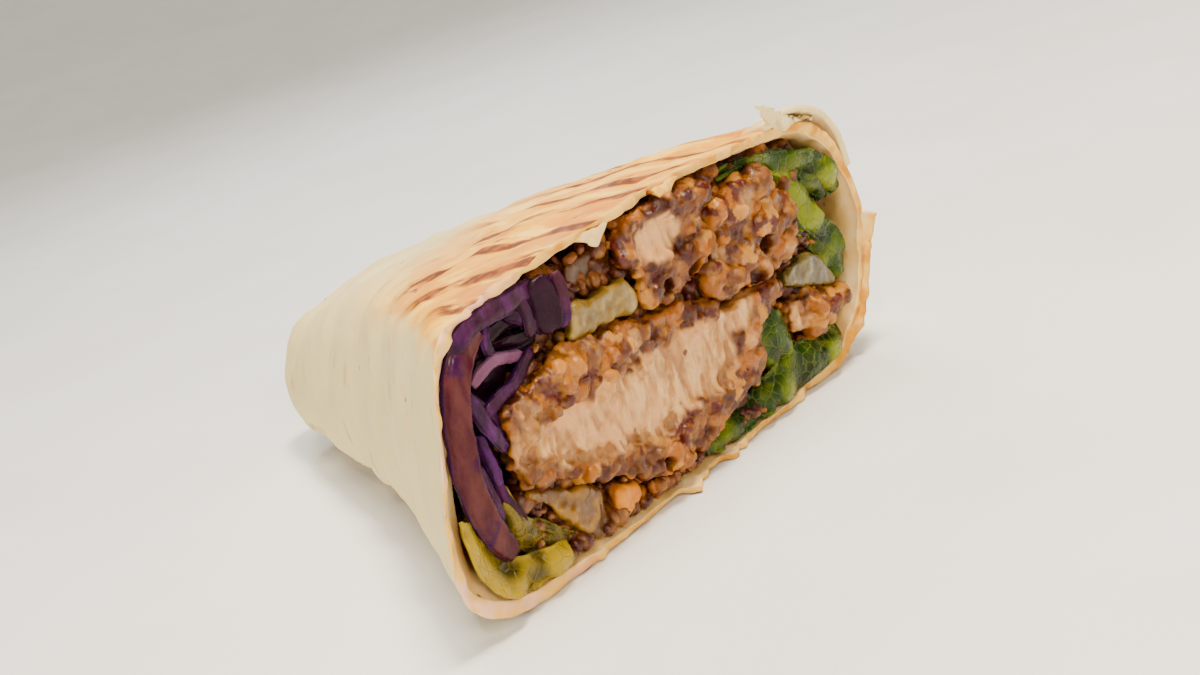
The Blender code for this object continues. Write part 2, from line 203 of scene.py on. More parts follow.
def spline(p0, p1, p2, p3, samples):
    """Catmull-Rom curves from each p1 to its p2."""
    k = (np.arange(samples) / samples)[None, :, None]
    p0, p1, p2, p3 = (p[:, None, :] for p in (p0, p1, p2, p3))
    curve = 2 * p1 + (p2 - p0) * k + (2 * p0 - 5 * p1 + 4 * p2 - p3) * k**2
    curve = curve + (3 * p1 - p0 - 3 * p2 + p3) * k**3
    return curve.reshape(-1, p1.shape[-1]) / 2


def smooth_loop(points, samples):
    p = np.array(points, float)
    return spline(np.roll(p, 1, 0), p, np.roll(p, -1, 0), np.roll(p, -2, 0), samples)


def smooth_line(points, samples):
    p = np.array(points, float)
    p = np.concatenate([[2 * p[0] - p[1]], p, [2 * p[-1] - p[-2]]])
    return np.concatenate([spline(p[:-3], p[1:-2], p[2:-1], p[3:], samples), p[-2:-1]])


def outward(loop):
    """Unit normals of a closed plane curve, pointing out of it."""
    along = np.roll(loop, -1, 0) - np.roll(loop, 1, 0)
    normals = np.stack([along[:, 1], -along[:, 0]], axis=1)
    x, y = loop.T
    area = np.sum(x * np.roll(y, -1) - np.roll(x, -1) * y)
    return normals / np.linalg.norm(normals, axis=1)[:, None] * np.sign(area)


def inside_distance(s, v, loop):
    """How far each point is inside a closed plane curve. It is negative outside."""
    points = np.stack([s, v], axis=1)
    nearest = np.full(len(points), 1e9)
    inside = np.zeros(len(points), bool)
    for a, b in zip(loop, np.roll(loop, -1, 0)):
        edge = b - a
        share = np.clip((points - a) @ edge / (edge @ edge), 0, 1)
        nearest = np.minimum(nearest, np.linalg.norm(points - a - share[:, None] * edge, axis=1))
        crosses = (a[1] > points[:, 1]) != (b[1] > points[:, 1])
        if edge[1]:
            inside ^= crosses & (points[:, 0] < a[0] + (points[:, 1] - a[1]) * edge[0] / edge[1])
    return np.where(inside, nearest, -nearest)


# Noise that is the same in every run
WORD = 0xFFFFFFFF


def cell_random(cell, seed):
    """A fixed random number from 0 to 1 for each cell of a grid."""
    n = cell[..., 0] * 73856093 ^ cell[..., 1] * 19349663 ^ cell[..., 2] * 83492791 ^ seed * 2654435761
    n = n & WORD
    n = (n ^ n >> 15) * 2246822519 & WORD
    n = (n ^ n >> 13) * 3266489917 & WORD
    return (n ^ n >> 16) / 2**32


def noise(points, size, seed=0):
    """Smooth noise from -1 to 1, with features of the given size."""
    scaled = points / size
    cell = np.floor(scaled).astype(np.int64)
    share = smooth(scaled - cell)
    total = 0
    for corner in itertools.product((0, 1), repeat=3):
        weight = np.prod(np.where(corner, share, 1 - share), axis=-1)
        total = total + weight * cell_random(cell + corner, seed)
    return 2 * total - 1


def fractal(points, size, octaves, seed=0):
    layers = [noise(points, size / 2**i, seed + i) / 2**i for i in range(octaves)]
    return sum(layers) / (2 - 2.0 ** (1 - octaves))


def crumbs(points, size, seed=0):
    """The distance to the nearest of scattered crumbs and that crumb's own tone, from 0 to 1.

    The distance is 0 in the middle of a crumb, and about 1 between crumbs."""
    scaled = points / size
    cell = np.floor(scaled).astype(np.int64)
    nearest = np.full(points.shape[:-1], 9.0)
    tone = np.zeros(points.shape[:-1])
    for step in itertools.product((-1, 0, 1), repeat=3):
        near = cell + step
        centre = near + np.stack([cell_random(near, seed + k) for k in range(3)], axis=-1)
        distance = np.linalg.norm(centre - scaled, axis=-1)
        tone = np.where(distance < nearest, cell_random(near, seed + 3), tone)
        nearest = np.minimum(nearest, distance)
    return nearest, tone


# Meshes


def grid_faces(rows, columns, start=0, closed=False, flip=False):
    """The faces of a grid of points, row by row. A closed grid joins its last column to its first."""
    i = np.arange(rows - 1)[:, None] * columns
    j = np.arange(columns if closed else columns - 1)[None, :]
    after = (j + 1) % columns
    faces = np.stack([i + j, i + after, i + columns + after, i + columns + j], axis=-1).reshape(-1, 4) + start
    return (faces[:, ::-1] if flip else faces).tolist()


def raw_mesh(name, points, faces):
    mesh = bpy.data.meshes.new(name)
    mesh.from_pydata((np.asarray(points) * MM).tolist(), [], faces)
    mesh.update()
    return mesh


def add_object(name, data):
    thing = bpy.data.objects.new(name, data)
    bpy.context.scene.collection.objects.link(thing)
    return thing


def vertex_vectors(vertices, key):
    """One vector for each vertex, as an array."""
    numbers = np.empty(len(vertices) * 3, np.float32)
    vertices.foreach_get(key, numbers)
    return numbers.reshape(-1, 3).astype(float)


def turn_outward(mesh):
    """Turns the faces of each closed shell in a mesh to look out of it."""
    shells = bmesh.new()
    shells.from_mesh(mesh)
    bmesh.ops.recalc_face_normals(shells, faces=shells.faces)
    shells.to_mesh(mesh)
    shells.free()


def joined(*solids):
    """Several lots of points and faces as one."""
    points, faces, start = [], [], 0
    for part_points, part_faces in solids:
        points.append(np.asarray(part_points))
        faces.extend([[index + start for index in face] for face in part_faces])
        start += len(part_points)
    return np.concatenate(points), faces


def remeshed(solid, voxel, easing):
    """One eased skin of small even faces round overlapping solids: its points, normals and faces."""
    rough_mesh = raw_mesh("rough", *solid)
    rough = add_object("rough", rough_mesh)
    remesh = rough.modifiers.new("remesh", "REMESH")
    remesh.mode = "VOXEL"
    remesh.voxel_size = voxel * MM
    ease = rough.modifiers.new("ease", "SMOOTH")
    ease.factor = 0.5
    ease.iterations = easing
    bpy.context.view_layer.update()
    graph = bpy.context.evaluated_depsgraph_get()
    skin = bpy.data.meshes.new_from_object(rough.evaluated_get(graph))
    points = vertex_vectors(skin.vertices, "co") / MM
    normals = vertex_vectors(skin.vertex_normals, "vector")
    faces = [list(polygon.vertices) for polygon in skin.polygons]
    bpy.data.objects.remove(rough)
    bpy.data.meshes.remove(rough_mesh)
    bpy.data.meshes.remove(skin)
    return points, normals, faces


def add_piece(name, points, faces, look, slot, replaces, values):
    """Makes a piece of the wrap from points in millimetres, with its look and the values that the look reads.

    Each value is one number for the whole piece, or one for each point."""
    mesh = raw_mesh(name, points, faces)
    turn_outward(mesh)
    mesh.shade_smooth()
    mesh.materials.append(look)
    for key, numbers in values.items():
        layer = mesh.attributes.new(key, "FLOAT", "POINT")
        numbers = np.broadcast_to(np.asarray(numbers, np.float32), len(points))
        layer.data.foreach_set("value", np.ascontiguousarray(numbers))
    piece = add_object(name, mesh)
    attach(piece, "root")
    if replaces:
        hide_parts(*replaces)


# Materials


class Look:
    """A material, wired up one node at a time. Sizes are in millimetres."""

    def __init__(
        self, name, roughness, scatter=0.0, scatter_reach=1.0, scatter_tint=(1, 0.5, 0.3), coat=0.0,
        coat_roughness=0.2, specular=0.35,
    ):
        self.material = bpy.data.materials.new(name)
        self.material.use_nodes = True
        self.tree = self.material.node_tree
        self.shader = self.tree.nodes["Principled BSDF"]
        self.place = self.node("ShaderNodeTexCoord").outputs["Object"]
        for key, value in (
            ("Roughness", roughness), ("Specular IOR Level", specular), ("Subsurface Weight", scatter),
            ("Subsurface Scale", scatter_reach * MM), ("Subsurface Radius", scatter_tint),
            ("Coat Weight", coat), ("Coat Roughness", coat_roughness),
        ):
            self.shader.inputs[key].default_value = value

    def node(self, kind, **settings):
        node = self.tree.nodes.new(kind)
        for key, value in settings.items():
            setattr(node, key, value)
        return node

    def feed(self, socket, value):
        if isinstance(value, bpy.types.NodeSocket):
            self.tree.links.new(value, socket)
        else:
            socket.default_value = value

    def value(self, name):
        return self.node("ShaderNodeAttribute", attribute_name=name).outputs["Fac"]

    def stretched(self, stretch, turn=0.0):
        """Places turned about the upright axis, then made longer along each axis by its share of stretch."""
        mapping = self.node("ShaderNodeMapping", vector_type="TEXTURE")
        self.feed(mapping.inputs["Vector"], self.place)
        mapping.inputs["Rotation"].default_value = (0, 0, turn)
        mapping.inputs["Scale"].default_value = stretch
        return mapping.outputs["Vector"]

    def noise(self, size, detail=3, roughness=0.55, stretch=None, turn=0.0):
        node = self.node("ShaderNodeTexNoise")
        self.feed(node.inputs["Vector"], self.stretched(stretch, turn) if stretch else self.place)
        for key, value in (("Scale", 1 / (size * MM)), ("Detail", detail), ("Roughness", roughness)):
            node.inputs[key].default_value = value
        return node.outputs["Fac"]

    def patches(self, size, low, high, detail=3, **how):
        """Uneven patches: 0 where noise of the given size is under low, and 1 where it is over high."""
        return self.between(self.noise(size, detail, **how), low, high)

    def cells(self, size, feature="F1"):
        """The distance to the nearest of scattered cells of the given size, or to its edge."""
        node = self.node("ShaderNodeTexVoronoi", feature=feature)
        self.feed(node.inputs["Vector"], self.place)
        node.inputs["Scale"].default_value = 1 / (size * MM)
        return node.outputs["Distance"]

    def math(self, operation, first, second=0.0):
        node = self.node("ShaderNodeMath", operation=operation)
        self.feed(node.inputs[0], first)
        self.feed(node.inputs[1], second)
        return node.outputs[0]

    def times(self, product, *values):
        """All the values multiplied together."""
        for value in values:
            product = self.math("MULTIPLY", product, value)
        return product

    def between(self, factor, low, high, to_low=0.0, to_high=1.0):
        """A smooth step from to_low, where the factor is low, up to to_high, where it is high."""
        node = self.node("ShaderNodeMapRange", interpolation_type="SMOOTHSTEP")
        numbers = {"Value": factor, "From Min": low, "From Max": high, "To Min": to_low, "To Max": to_high}
        for key, value in numbers.items():
            self.feed(node.inputs[key], value)
        return node.outputs["Result"]

    def mix(self, factor, first, second, share=1.0):
        """The first colour, with the second over it by the factor times the share."""
        node = self.node("ShaderNodeMix", data_type="RGBA")
        if share != 1.0:
            factor = self.times(factor, share)
        for socket, value in zip((node.inputs[0], node.inputs[6], node.inputs[7]), (factor, first, second)):
            self.feed(socket, value)
        return node.outputs[2]

    def colour(self, value):
        self.feed(self.shader.inputs["Base Color"], value)

    def surface(self, roughness, height, distance, strength):
        """Gives the surface its roughness, and fine relief up to the given distance."""
        self.feed(self.shader.inputs["Roughness"], roughness)
        node = self.node("ShaderNodeBump")
        for key, value in (("Height", height), ("Distance", distance * MM), ("Strength", strength)):
            self.feed(node.inputs[key], value)
        self.feed(self.shader.inputs["Normal"], node.outputs["Normal"])


CREAM = tint(230, 214, 172)
CREAM_COOL = tint(222, 208, 168)
TOP_TAN = tint(236, 184, 98)
TOP_DEEP = tint(222, 160, 76)
TOP_LIGHT = tint(252, 216, 140)
TOASTED = tint(194, 132, 52)
GRILL_GOLD = tint(152, 94, 32)
GRILL_BROWN = tint(96, 54, 20)
STREAK = tint(178, 132, 80)
RIM_PINK = tint(234, 194, 172)
RIM_GOLD = tint(206, 154, 84)
RIM_LIGHT = tint(230, 192, 130)
INSIDE_GOLD = tint(238, 204, 150)
INSIDE_LIGHT = tint(246, 220, 176)
SPECK = tint(52, 26, 14)

# The marks of the grill run slantwise over the top
GRILL_TURN = math.radians(-60)
GRILL_PITCH = 13.4
GRILL_LINE = -44.5


def grill_waves(look, wobble):
    """A wave across each of the two sets of grill lines, which is 1 along the middle of each line."""
    turned = look.node("ShaderNodeSeparateXYZ")
    look.feed(turned.inputs[0], look.stretched((1, 1, 1), GRILL_TURN))
    waves = []
    for axis, bend, start in (("Y", 0.6, GRILL_LINE), ("X", 1.0, 0.0)):
        place = look.math("ADD", look.times(turned.outputs[axis], 1 / MM), look.times(wobble, bend))
        angle = look.times(look.math("SUBTRACT", place, start), 2 * math.pi / GRILL_PITCH)
        waves.append(look.math("COSINE", angle))
    return waves


def grill_lines(look, wave, wobble, across, along, top):
    """The lines of the grill over the top near the cut, and the toasted band round each line."""
    near = look.between(look.math("ADD", along, look.times(wobble, 2.0)), 62, 40)
    left = look.between(look.math("ADD", across, wobble), 6, 16)
    right = look.between(across, 96, 72, 0.35, 1.0)
    place = look.times(near, left, right, look.between(top, 0.5, 0.85))
    broken = look.patches(5, 0.34, 0.5, stretch=(2.6, 1, 1), turn=GRILL_TURN)
    lines = look.times(look.between(wave, 0.56, 0.86), broken)
    strokes = look.patches(2.2, 0.56, 0.64, stretch=(4.5, 1, 1), turn=GRILL_TURN)
    strokes = look.times(strokes, look.between(wave, -0.6, 0.5), 0.9)
    band = look.times(look.between(wave, 0.1, 0.9), broken, place)
    return look.times(look.math("MAXIMUM", lines, strokes), place), band


def tortilla_look():
    """Baked dough: cream, with golden-brown grill lines, toasted patches, faint streaks and a few specks.

    It reads across, along, top, rim and inside, which the mesh gives it."""
    look = Look(
        "baked_dough", 0.62, scatter=0.15, scatter_reach=1.4, scatter_tint=(1, 0.6, 0.32), specular=0.12,
    )
    across, along, top = look.value("across"), look.value("along"), look.value("top")
    wobble = look.times(look.math("SUBTRACT", look.noise(9), 0.5), 6.0)
    wave, cross_wave = grill_waves(look, wobble)
    lines, band = grill_lines(look, wave, wobble, across, along, top)
    # The underside has both sets of lines, but fainter
    crossed = look.math("MAXIMUM", look.between(wave, 0.7, 0.98), look.between(cross_wave, 0.7, 0.98))
    crossed = look.times(crossed, look.between(top, -0.3, -0.9), look.patches(8, 0.3, 0.55, 2))

    upper = look.between(look.math("ADD", top, look.times(look.noise(12), 0.5)), 0.5, 1.15)
    tan = look.mix(look.patches(14, 0.4, 0.62), TOP_TAN, TOP_DEEP)
    tan = look.mix(look.patches(6, 0.48, 0.6, stretch=(2, 1, 1), turn=GRILL_TURN), tan, TOP_LIGHT, 0.75)
    browned = look.times(look.between(look.math("ADD", along, look.times(wobble, 3.0)), 100, 22), upper)
    base = look.mix(look.patches(20, 0.42, 0.66), CREAM, CREAM_COOL)
    base = look.mix(browned, base, tan)
    toasted = look.patches(8, 0.42, 0.62, stretch=(1.8, 1, 1), turn=GRILL_TURN)
    base = look.mix(look.times(look.between(along, 30, 3), upper, toasted), base, TOASTED, 0.75)
    streaks = look.patches(4.5, 0.58, 0.72, 4, stretch=(1, 1, 3.4))
    base = look.mix(look.times(streaks, look.between(top, 0.6, 0.2)), base, STREAK, 0.6)

    inside = look.mix(look.patches(6, 0.4, 0.65), INSIDE_GOLD, INSIDE_LIGHT)
    base = look.mix(look.value("inside"), base, inside)
    rim = look.mix(look.between(across, 16, 34), RIM_PINK, RIM_GOLD)
    rim = look.mix(look.patches(5, 0.36, 0.6, 2), rim, RIM_LIGHT)
    base = look.mix(look.value("rim"), base, rim)
    base = look.mix(band, base, TOASTED, 0.45)
    marked = look.math("MAXIMUM", lines, crossed)
    base = look.mix(marked, base, GRILL_GOLD)
    core = look.times(look.between(marked, 0.45, 0.9), look.patches(3, 0.42, 0.56))
    base = look.mix(core, base, GRILL_BROWN, 0.85)
    specks = look.times(look.between(look.cells(6.5), 0.09, 0.05), look.patches(14, 0.5, 0.56, 1))
    look.colour(look.mix(specks, base, SPECK, 0.85))
    look.surface(look.between(look.noise(4), 0.3, 0.7, 0.5, 0.72), look.noise(1.1, 4, 0.6), 0.12, 0.5)
    return look.material


def chicken_look():
    """Fried breading round pale cooked meat. It reads meat, height, dark and tone from the mesh."""
    look = Look(
        "fried_breading", 0.42, scatter=0.25, scatter_reach=0.9, scatter_tint=(1, 0.4, 0.2), coat=0.1,
        specular=0.3,
    )
    meat, height, dark, tone = (look.value(name) for name in ("meat", "height", "dark", "tone"))
    crust = look.mix(look.patches(6.5, 0.4, 0.6, 4, roughness=0.6), tint(86, 50, 22), tint(126, 84, 38))
    crust = look.mix(look.between(tone, 0.42, 0.72), crust, tint(150, 98, 44))
    crust = look.mix(look.between(tone, 0.84, 0.94), crust, tint(180, 134, 84))
    crust = look.mix(look.between(tone, 0.3, 0.14), crust, tint(86, 36, 14))
    crust = look.mix(look.patches(1.6, 0.5, 0.64), crust, tint(178, 132, 72), 0.35)
    # Painted shade: the crust is darkened where its relief sits low, in its crevices
    crust = look.mix(look.between(height, 0.1, -0.6), crust, tint(66, 28, 9), 0.88)
    # The dark value holds the darker spots of the crust, and painted shade in the pits and in the gaps
    # between the fillings
    crust = look.mix(dark, crust, tint(60, 22, 7))
    fibres = look.patches(1.5, 0.38, 0.62, 4, roughness=0.6, stretch=(1, 1, 4.5))
    flesh = look.mix(fibres, tint(172, 128, 84), tint(214, 180, 138))
    flesh = look.mix(look.patches(9, 0.42, 0.66, 2), flesh, tint(208, 166, 126))
    # Painted shade: the meat is darkened where its relief sits low, between its fibres
    flesh = look.mix(look.between(height, -0.1, -0.5), flesh, tint(130, 84, 46), 0.6)
    flesh = look.mix(look.between(look.cells(7), 0.1, 0.06), flesh, tint(110, 62, 36))
    look.colour(look.mix(meat, crust, flesh))
    look.surface(look.between(look.noise(1.8), 0.35, 0.65, 0.24, 0.6), look.noise(0.8, 4, 0.65), 0.22, 0.8)
    return look.material


def wet_look(name, tones, patch, scatter, reach, roughness=(0.16, 0.45), coat=0.1, specular=0.28, veins=0.0):
    """Wet flesh in a dark, a middle and a light tone. A leaf has a net of veins of the given size."""
    look = Look(
        name, 0.3, scatter=scatter, scatter_reach=reach, scatter_tint=(0.8, 0.8, 0.4), coat=coat,
        coat_roughness=0.1, specular=specular,
    )
    dark, middle, light = (tint(*tone) for tone in tones)
    tone = look.value("tone")
    base = look.mix(look.patches(patch, 0.34, 0.62, 4, roughness=0.6), dark, middle)
    base = look.mix(look.patches(patch * 0.45, 0.48, 0.7), base, light, 0.35 if veins else 1.0)
    base = look.mix(look.between(tone, 0.0, -1.0), base, dark)
    base = look.mix(look.between(tone, 0.0, 1.0), base, light)
    height = look.noise(1.1, 4)
    if veins:
        line = look.between(look.cells(veins, "DISTANCE_TO_EDGE"), 0.09, 0.0)
        base = look.mix(line, base, light, 0.24)
        height = look.math("SUBTRACT", height, line)
    look.colour(base)
    look.surface(look.between(look.noise(2), 0.35, 0.65, *roughness), height, 0.18, 0.6)
    return look.material


def cabbage_look():
    """Wet red cabbage: deep purple skins, mauve flesh at the middle of a shred, and a few whitish ones."""
    look = Look(
        "wet_cabbage", 0.3, scatter=0.15, scatter_reach=0.6, scatter_tint=(0.8, 0.3, 0.7), specular=0.1,
    )
    tone, across = look.value("tone"), look.value("across")
    flesh = look.mix(look.patches(2.6, 0.35, 0.65, stretch=(1, 1, 3)), tint(68, 30, 40), tint(92, 56, 56))
    flesh = look.mix(look.patches(5, 0.55, 0.68, 2), flesh, tint(60, 24, 60))
    purple = look.mix(look.patches(2.2, 0.4, 0.64, stretch=(1, 1, 3)), tint(40, 10, 44), tint(78, 36, 86))
    flesh = look.mix(look.value("violet"), flesh, purple)
    base = look.mix(look.between(look.math("ABSOLUTE", across), 0.8, 0.97), flesh, tint(46, 12, 54))
    base = look.mix(look.between(tone, 0.0, -0.9), base, tint(36, 5, 30))
    base = look.mix(look.between(tone, 0.2, 1.1), base, tint(146, 108, 136), 0.6)
    look.colour(base)
    roughness = look.between(look.noise(1.6, 2), 0.35, 0.65, 0.16, 0.4)
    look.surface(roughness, look.noise(0.8, stretch=(1, 1, 2.5)), 0.15, 0.5)
    return look.material


# The tortilla

WRAP_LENGTH = 125
OUTSIDE_STEPS = 130
INSIDE_STEPS = 34
CAP_STEPS = 23
CAP_END = 89.6
RIM_ROWS = 5
RIM_FLARE = 0.85
LEFT_FLARE = 0.7
# How far the relief is sunk into the solid, so that it stays near the solid's own face
RELIEF_SINK = 0.25
# Above this v the rim is more ragged, and below the other one it has torn bits
RAGGED_ABOVE = 44
TORN_BELOW = 6
# Torn bits of the lower edge: the middle and half width along s, and how far each stands forward
TORN_BITS = [
    (53.5, 3.4, 4.2), (57.5, 1.6, 1.6), (65.5, 3.0, 3.0), (69, 1.4, 1.8), (30, 1.8, 1.0), (88, 2.4, 1.0),
]


def add_dough(name, points, faces, look, across, along, top, inside=0, rim=0):
    values = {"across": across, "along": along, "top": top, "inside": inside, "rim": rim}
    add_piece(name, points, faces, look, "flour_tortilla", ["tortilla"], values)


def in_cut(s, v):
    """The points (s, v) laid out for noise that is the same at every depth."""
    return np.stack([s, v, np.zeros_like(s)], axis=-1)


def rim_reach(s, v):
    """How far the torn cut edge stands in front of the cut."""
    edge = in_cut(s, v)
    reach = 0.8 * noise(edge, 7, 11) + 0.45 * noise(edge, 2.1, 12)
    reach = reach + 0.7 * noise(edge, 1.5, 13) * (v > RAGGED_ABOVE)
    for middle, half, forward in TORN_BITS:
        reach += forward * smooth(1 - abs(s - middle) / half) * (v < TORN_BELOW)
    return reach


def stations(count, power):
    return (np.arange(count) / (count - 1)) ** power


def wall_points(loop, shares, cap_angles, cap_depth):
    """Rows of points of one face of the tortilla, from the cut over the folded end."""
    s, v = loop.T
    rows = place(s[None, :], v[None, :], shares[:, None])
    rows[..., 1] -= rim_reach(s, v)[None, :] * (1 - smooth(shares / 0.07))[:, None]
    middle = CUT_WIDTH / 2
    narrow = 1 - CAP_NARROWING * (1 - np.cos(cap_angles))[:, None]
    cap_s = middle + (s[None, :] - middle) * narrow
    cap_v = CAP_MIDDLE_V + (v[None, :] - CAP_MIDDLE_V) * np.cos(cap_angles)[:, None]
    cap = place(cap_s, cap_v, 1.0)
    cap[..., 1] += cap_depth * np.sin(cap_angles)[:, None]
    return np.concatenate([rows, cap])


def grid_normals(rows):
    """Normals of a grid whose rows are closed."""
    along = np.gradient(rows, axis=0)
    around = np.roll(rows, -1, 1) - np.roll(rows, 1, 1)
    normals = np.cross(along, around)
    return normals / np.maximum(np.linalg.norm(normals, axis=-1, keepdims=True), 1e-9)


def dough_relief(points, along):
    """The unevenness of the dough: soft dents, folds that run down its sides, and small blisters."""
    dents = 0.7 * noise(points, 24, 21) + 0.35 * noise(points, 11, 22)
    folds = 0.95 * noise(points * (1, 1, 0.22), 7.5, 23)
    blisters = 0.14 * noise(points, 3.2, 24) + 0.06 * noise(points, 1.3, 25)
    return (dents + folds) * smooth(along / 12) + blisters


def outer_face(outside, cap_angles):
    """The dough's outer face with its relief, how far along the wrap its points are, and how they face."""
    shares = stations(OUTSIDE_STEPS, 1.15)
    outer = wall_points(outside, shares, cap_angles, CAP_DEPTH)
    along = shares[:, None] * (place(*outside.T, 1)[:, 1] - place(*outside.T, 0)[:, 1])[None, :]
    along = np.concatenate([along, along[-1:] + CAP_DEPTH * np.sin(cap_angles)[:, None]])
    normals = grid_normals(outer)
    relief = dough_relief(outer, along)
    relief = np.where(normals[..., 2] < -0.5, np.minimum(relief, 0) * 0.3, relief)
    relief[OUTSIDE_STEPS:] *= np.cos(cap_angles)[:, None]
    outer = outer + normals * (relief - RELIEF_SINK)[..., None]
    outer[..., 2] = np.maximum(outer[..., 2], 0)
    return outer, along, normals


def inner_face(inside, cap_angles):
    """The dough's inner face, which opens out a little at the cut."""
    shares = stations(INSIDE_STEPS, 2.2)
    inner = wall_points(inside, shares, cap_angles, CAP_DEPTH - WALL_AT_CAP)
    flare = RIM_FLARE + LEFT_FLARE * smooth((14 - inside[:, 0]) / 6)
    flare = (1 - smooth(shares * WRAP_LENGTH / 5))[:, None] * flare[None]
    flare = np.concatenate([flare, np.zeros((len(inner) - len(flare), len(inside)))])
    unevenness = 0.3 * noise(inner, 5, 31) + 0.15 * noise(inner, 1.8, 32)
    return inner + grid_normals(inner) * (flare + unevenness)[..., None]


def make_tortilla(look):
    outside = smooth_loop(WALL_OUTSIDE, 16)
    outside[:, 1] = np.maximum(outside[:, 1], 0)
    cap_angles = np.radians(np.linspace(0, CAP_END, CAP_STEPS + 1)[1:])
    outer, along, normals = outer_face(outside, cap_angles)
    inner = inner_face(smooth_loop(WALL_INSIDE, 16), cap_angles[::4])
    shares = (np.arange(RIM_ROWS) + 1) / (RIM_ROWS + 1)
    rim = inner[:1] + (outer[:1] - inner[:1]) * shares[:, None, None]
    rim[..., 1] -= 0.25 * np.sin(math.pi * shares)[:, None] + 0.35 * noise(rim, 1.2, 33)

    rows = np.concatenate([inner[::-1], rim, outer])
    columns = rows.shape[1]
    points = rows.reshape(-1, 3)
    faces = grid_faces(len(rows), columns, closed=True)
    faces.append(list(range(columns)))
    faces.append(list(range(len(points) - 1, len(points) - 1 - columns, -1)))
    row = np.arange(len(points)) // columns
    in_wall = row < len(inner)
    in_rim = (row >= len(inner)) & (row < len(inner) + RIM_ROWS)
    unseen = np.zeros((len(inner) + RIM_ROWS) * columns)
    depth = np.concatenate([unseen, along.reshape(-1)])
    rim_near = 0.8 * np.clip(1 - depth / 1.1, 0, 1) * ~in_wall
    across = np.tile(outside[:, 0], len(rows))
    top = np.concatenate([unseen, normals[..., 2].reshape(-1)])
    add_dough("tortilla_skin", points, faces, look, across, depth, top, in_wall, np.maximum(in_rim, rim_near))


def sheet_solid(rows, thickness):
    """A thin closed solid round an open grid of points. thickness is one number, or one for each point."""
    along = np.gradient(rows, axis=0)
    around = np.gradient(rows, axis=1)
    normals = np.cross(around, along)
    normals /= np.maximum(np.linalg.norm(normals, axis=-1, keepdims=True), 1e-9)
    half = np.broadcast_to(thickness, rows.shape[:2])[..., None] / 2
    height, width = rows.shape[:2]
    points = np.concatenate([(rows + normals * half).reshape(-1, 3), (rows - normals * half).reshape(-1, 3)])
    count = height * width
    faces = grid_faces(height, width) + grid_faces(height, width, start=count, flip=True)
    border = [*range(width), *range(2 * width - 1, count, width)]
    border += [*range(count - 2, count - width - 1, -1), *range(count - 2 * width, 0, -width)]
    for a, b in zip(border, border[1:] + border[:1]):
        faces.append([a, a + count, b + count, b])
    return points, faces


OVERLAP_ROWS = 70
# The share of the wrap's length that the loose ply runs along
OVERLAP_END = 0.9
# Its colours run back as if the wrap were this long
OVERLAP_LENGTH = 75
OVERLAP_THICKNESS = 1.5


def make_overlap(look):
    """The loose outer ply up the right side, with a torn front edge."""
    loose = smooth_line(OVERLAP_AT_CUT, 14)
    laid = smooth_line(OVERLAP_LAID, 14)
    shares = stations(OVERLAP_ROWS, 1.6) * OVERLAP_END
    settled = smooth(shares / 0.3)[:, None, None]
    flat = loose[None] * (1 - settled) + laid[None] * settled
    flat[..., 0] -= 2.0 * smooth((shares - 0.55) / 0.35)[:, None]
    rows = place(flat[..., 0], flat[..., 1], shares[:, None])
    edge = in_cut(*loose.T)
    torn = 0.6 + 0.9 * noise(edge, 3.4, 41) + 0.5 * noise(edge, 1.2, 42)
    rows[..., 1] -= torn[None] * (1 - smooth(shares / 0.05))[:, None]
    upper = smooth((np.linspace(0, 1, flat.shape[1]) - 0.75) / 0.25)
    rows[..., 2] += 0.9 * noise(rows[:, -1], 3, 43)[:, None] * upper[None]
    thickness = OVERLAP_THICKNESS - 0.5 * upper[None] + 0.15 * noise(rows, 2.5, 44)
    points, faces = sheet_solid(rows, thickness)
    depth = np.tile(np.repeat(shares * OVERLAP_LENGTH, rows.shape[1]), 2)
    rim = np.clip(1 - depth / 1.4, 0, 1)
    add_dough("tortilla_overlap", points, faces, look, 112, depth, 0.1, rim=rim)


# Torn bits of the top edge: the line that each hangs from and its tip, given by s, v and d, how far it bows
# down, the first of its seeds, and how far along the wrap and how upward its colour is taken from
TORN_PIECES = {
    "tortilla_flap": (
        [(106, 47.4, 0.6), (102, 48.8, 0.2), (98.4, 48.8, 0), (94, 49.8, 0.4)],
        (89.4, 55.6, -0.6), 1.6, 51, 70, 0.2,
    ),
    "tortilla_tongue": (
        [(49.4, 50.8, 0.8), (46.6, 50.5, 0.2), (43.2, 50.4, 0.2), (39.6, 50.3, 0.8)],
        (43.8, 47.4, -1.0), -0.6, 54, 70, 0.9,
    ),
    "tortilla_shred": (
        [(66.6, 51, 0.6), (64, 51.1, 0.2), (61.4, 51, 0.2), (58.6, 50.9, 0.6)],
        (61.8, 48.6, -0.9), -0.5, 56, 40, 0.9,
    ),
}
TORN_ROWS = 26
TORN_THICKNESS = 1.3
TIP_THINNING = 0.7


def make_torn_bits(look):
    for name, (line, tip, bow, seed, along, top) in TORN_PIECES.items():
        base = smooth_line(line, 8)
        shares = np.linspace(0, 1, TORN_ROWS)[:, None]
        flat = base[None] + (np.array(tip) - base)[None] * shares[..., None] ** 0.9
        flat[..., 1] -= bow * np.sin(math.pi * shares) * (1 - shares)
        grid = at(flat[..., 0], flat[..., 1], flat[..., 2])
        grid += 0.35 * noise(grid, 2.2, seed)[..., None] + 0.25 * noise(grid, 1.1, seed + 1)[..., None]
        points, faces = sheet_solid(grid, TORN_THICKNESS - TIP_THINNING * shares)
        add_dough(name, points, faces, look, 60, along, top)


# The outer ply round the top right of the cut, whose front edge stands off the one below
LOBE_LINE = [(91.5, 50.4), (96, 49.7), (101, 48.7), (105.4, 46.8), (109, 44.4), (112, 40.6), (114, 36)]
LOBE_LIFT = 2.0
LOBE_DEPTH = 15
LOBE_THICKNESS = 1.1
LOBE_ROWS = 26
# Its front edge is as pale as the dough this far behind the cut
LOBE_PALE_ALONG = 95


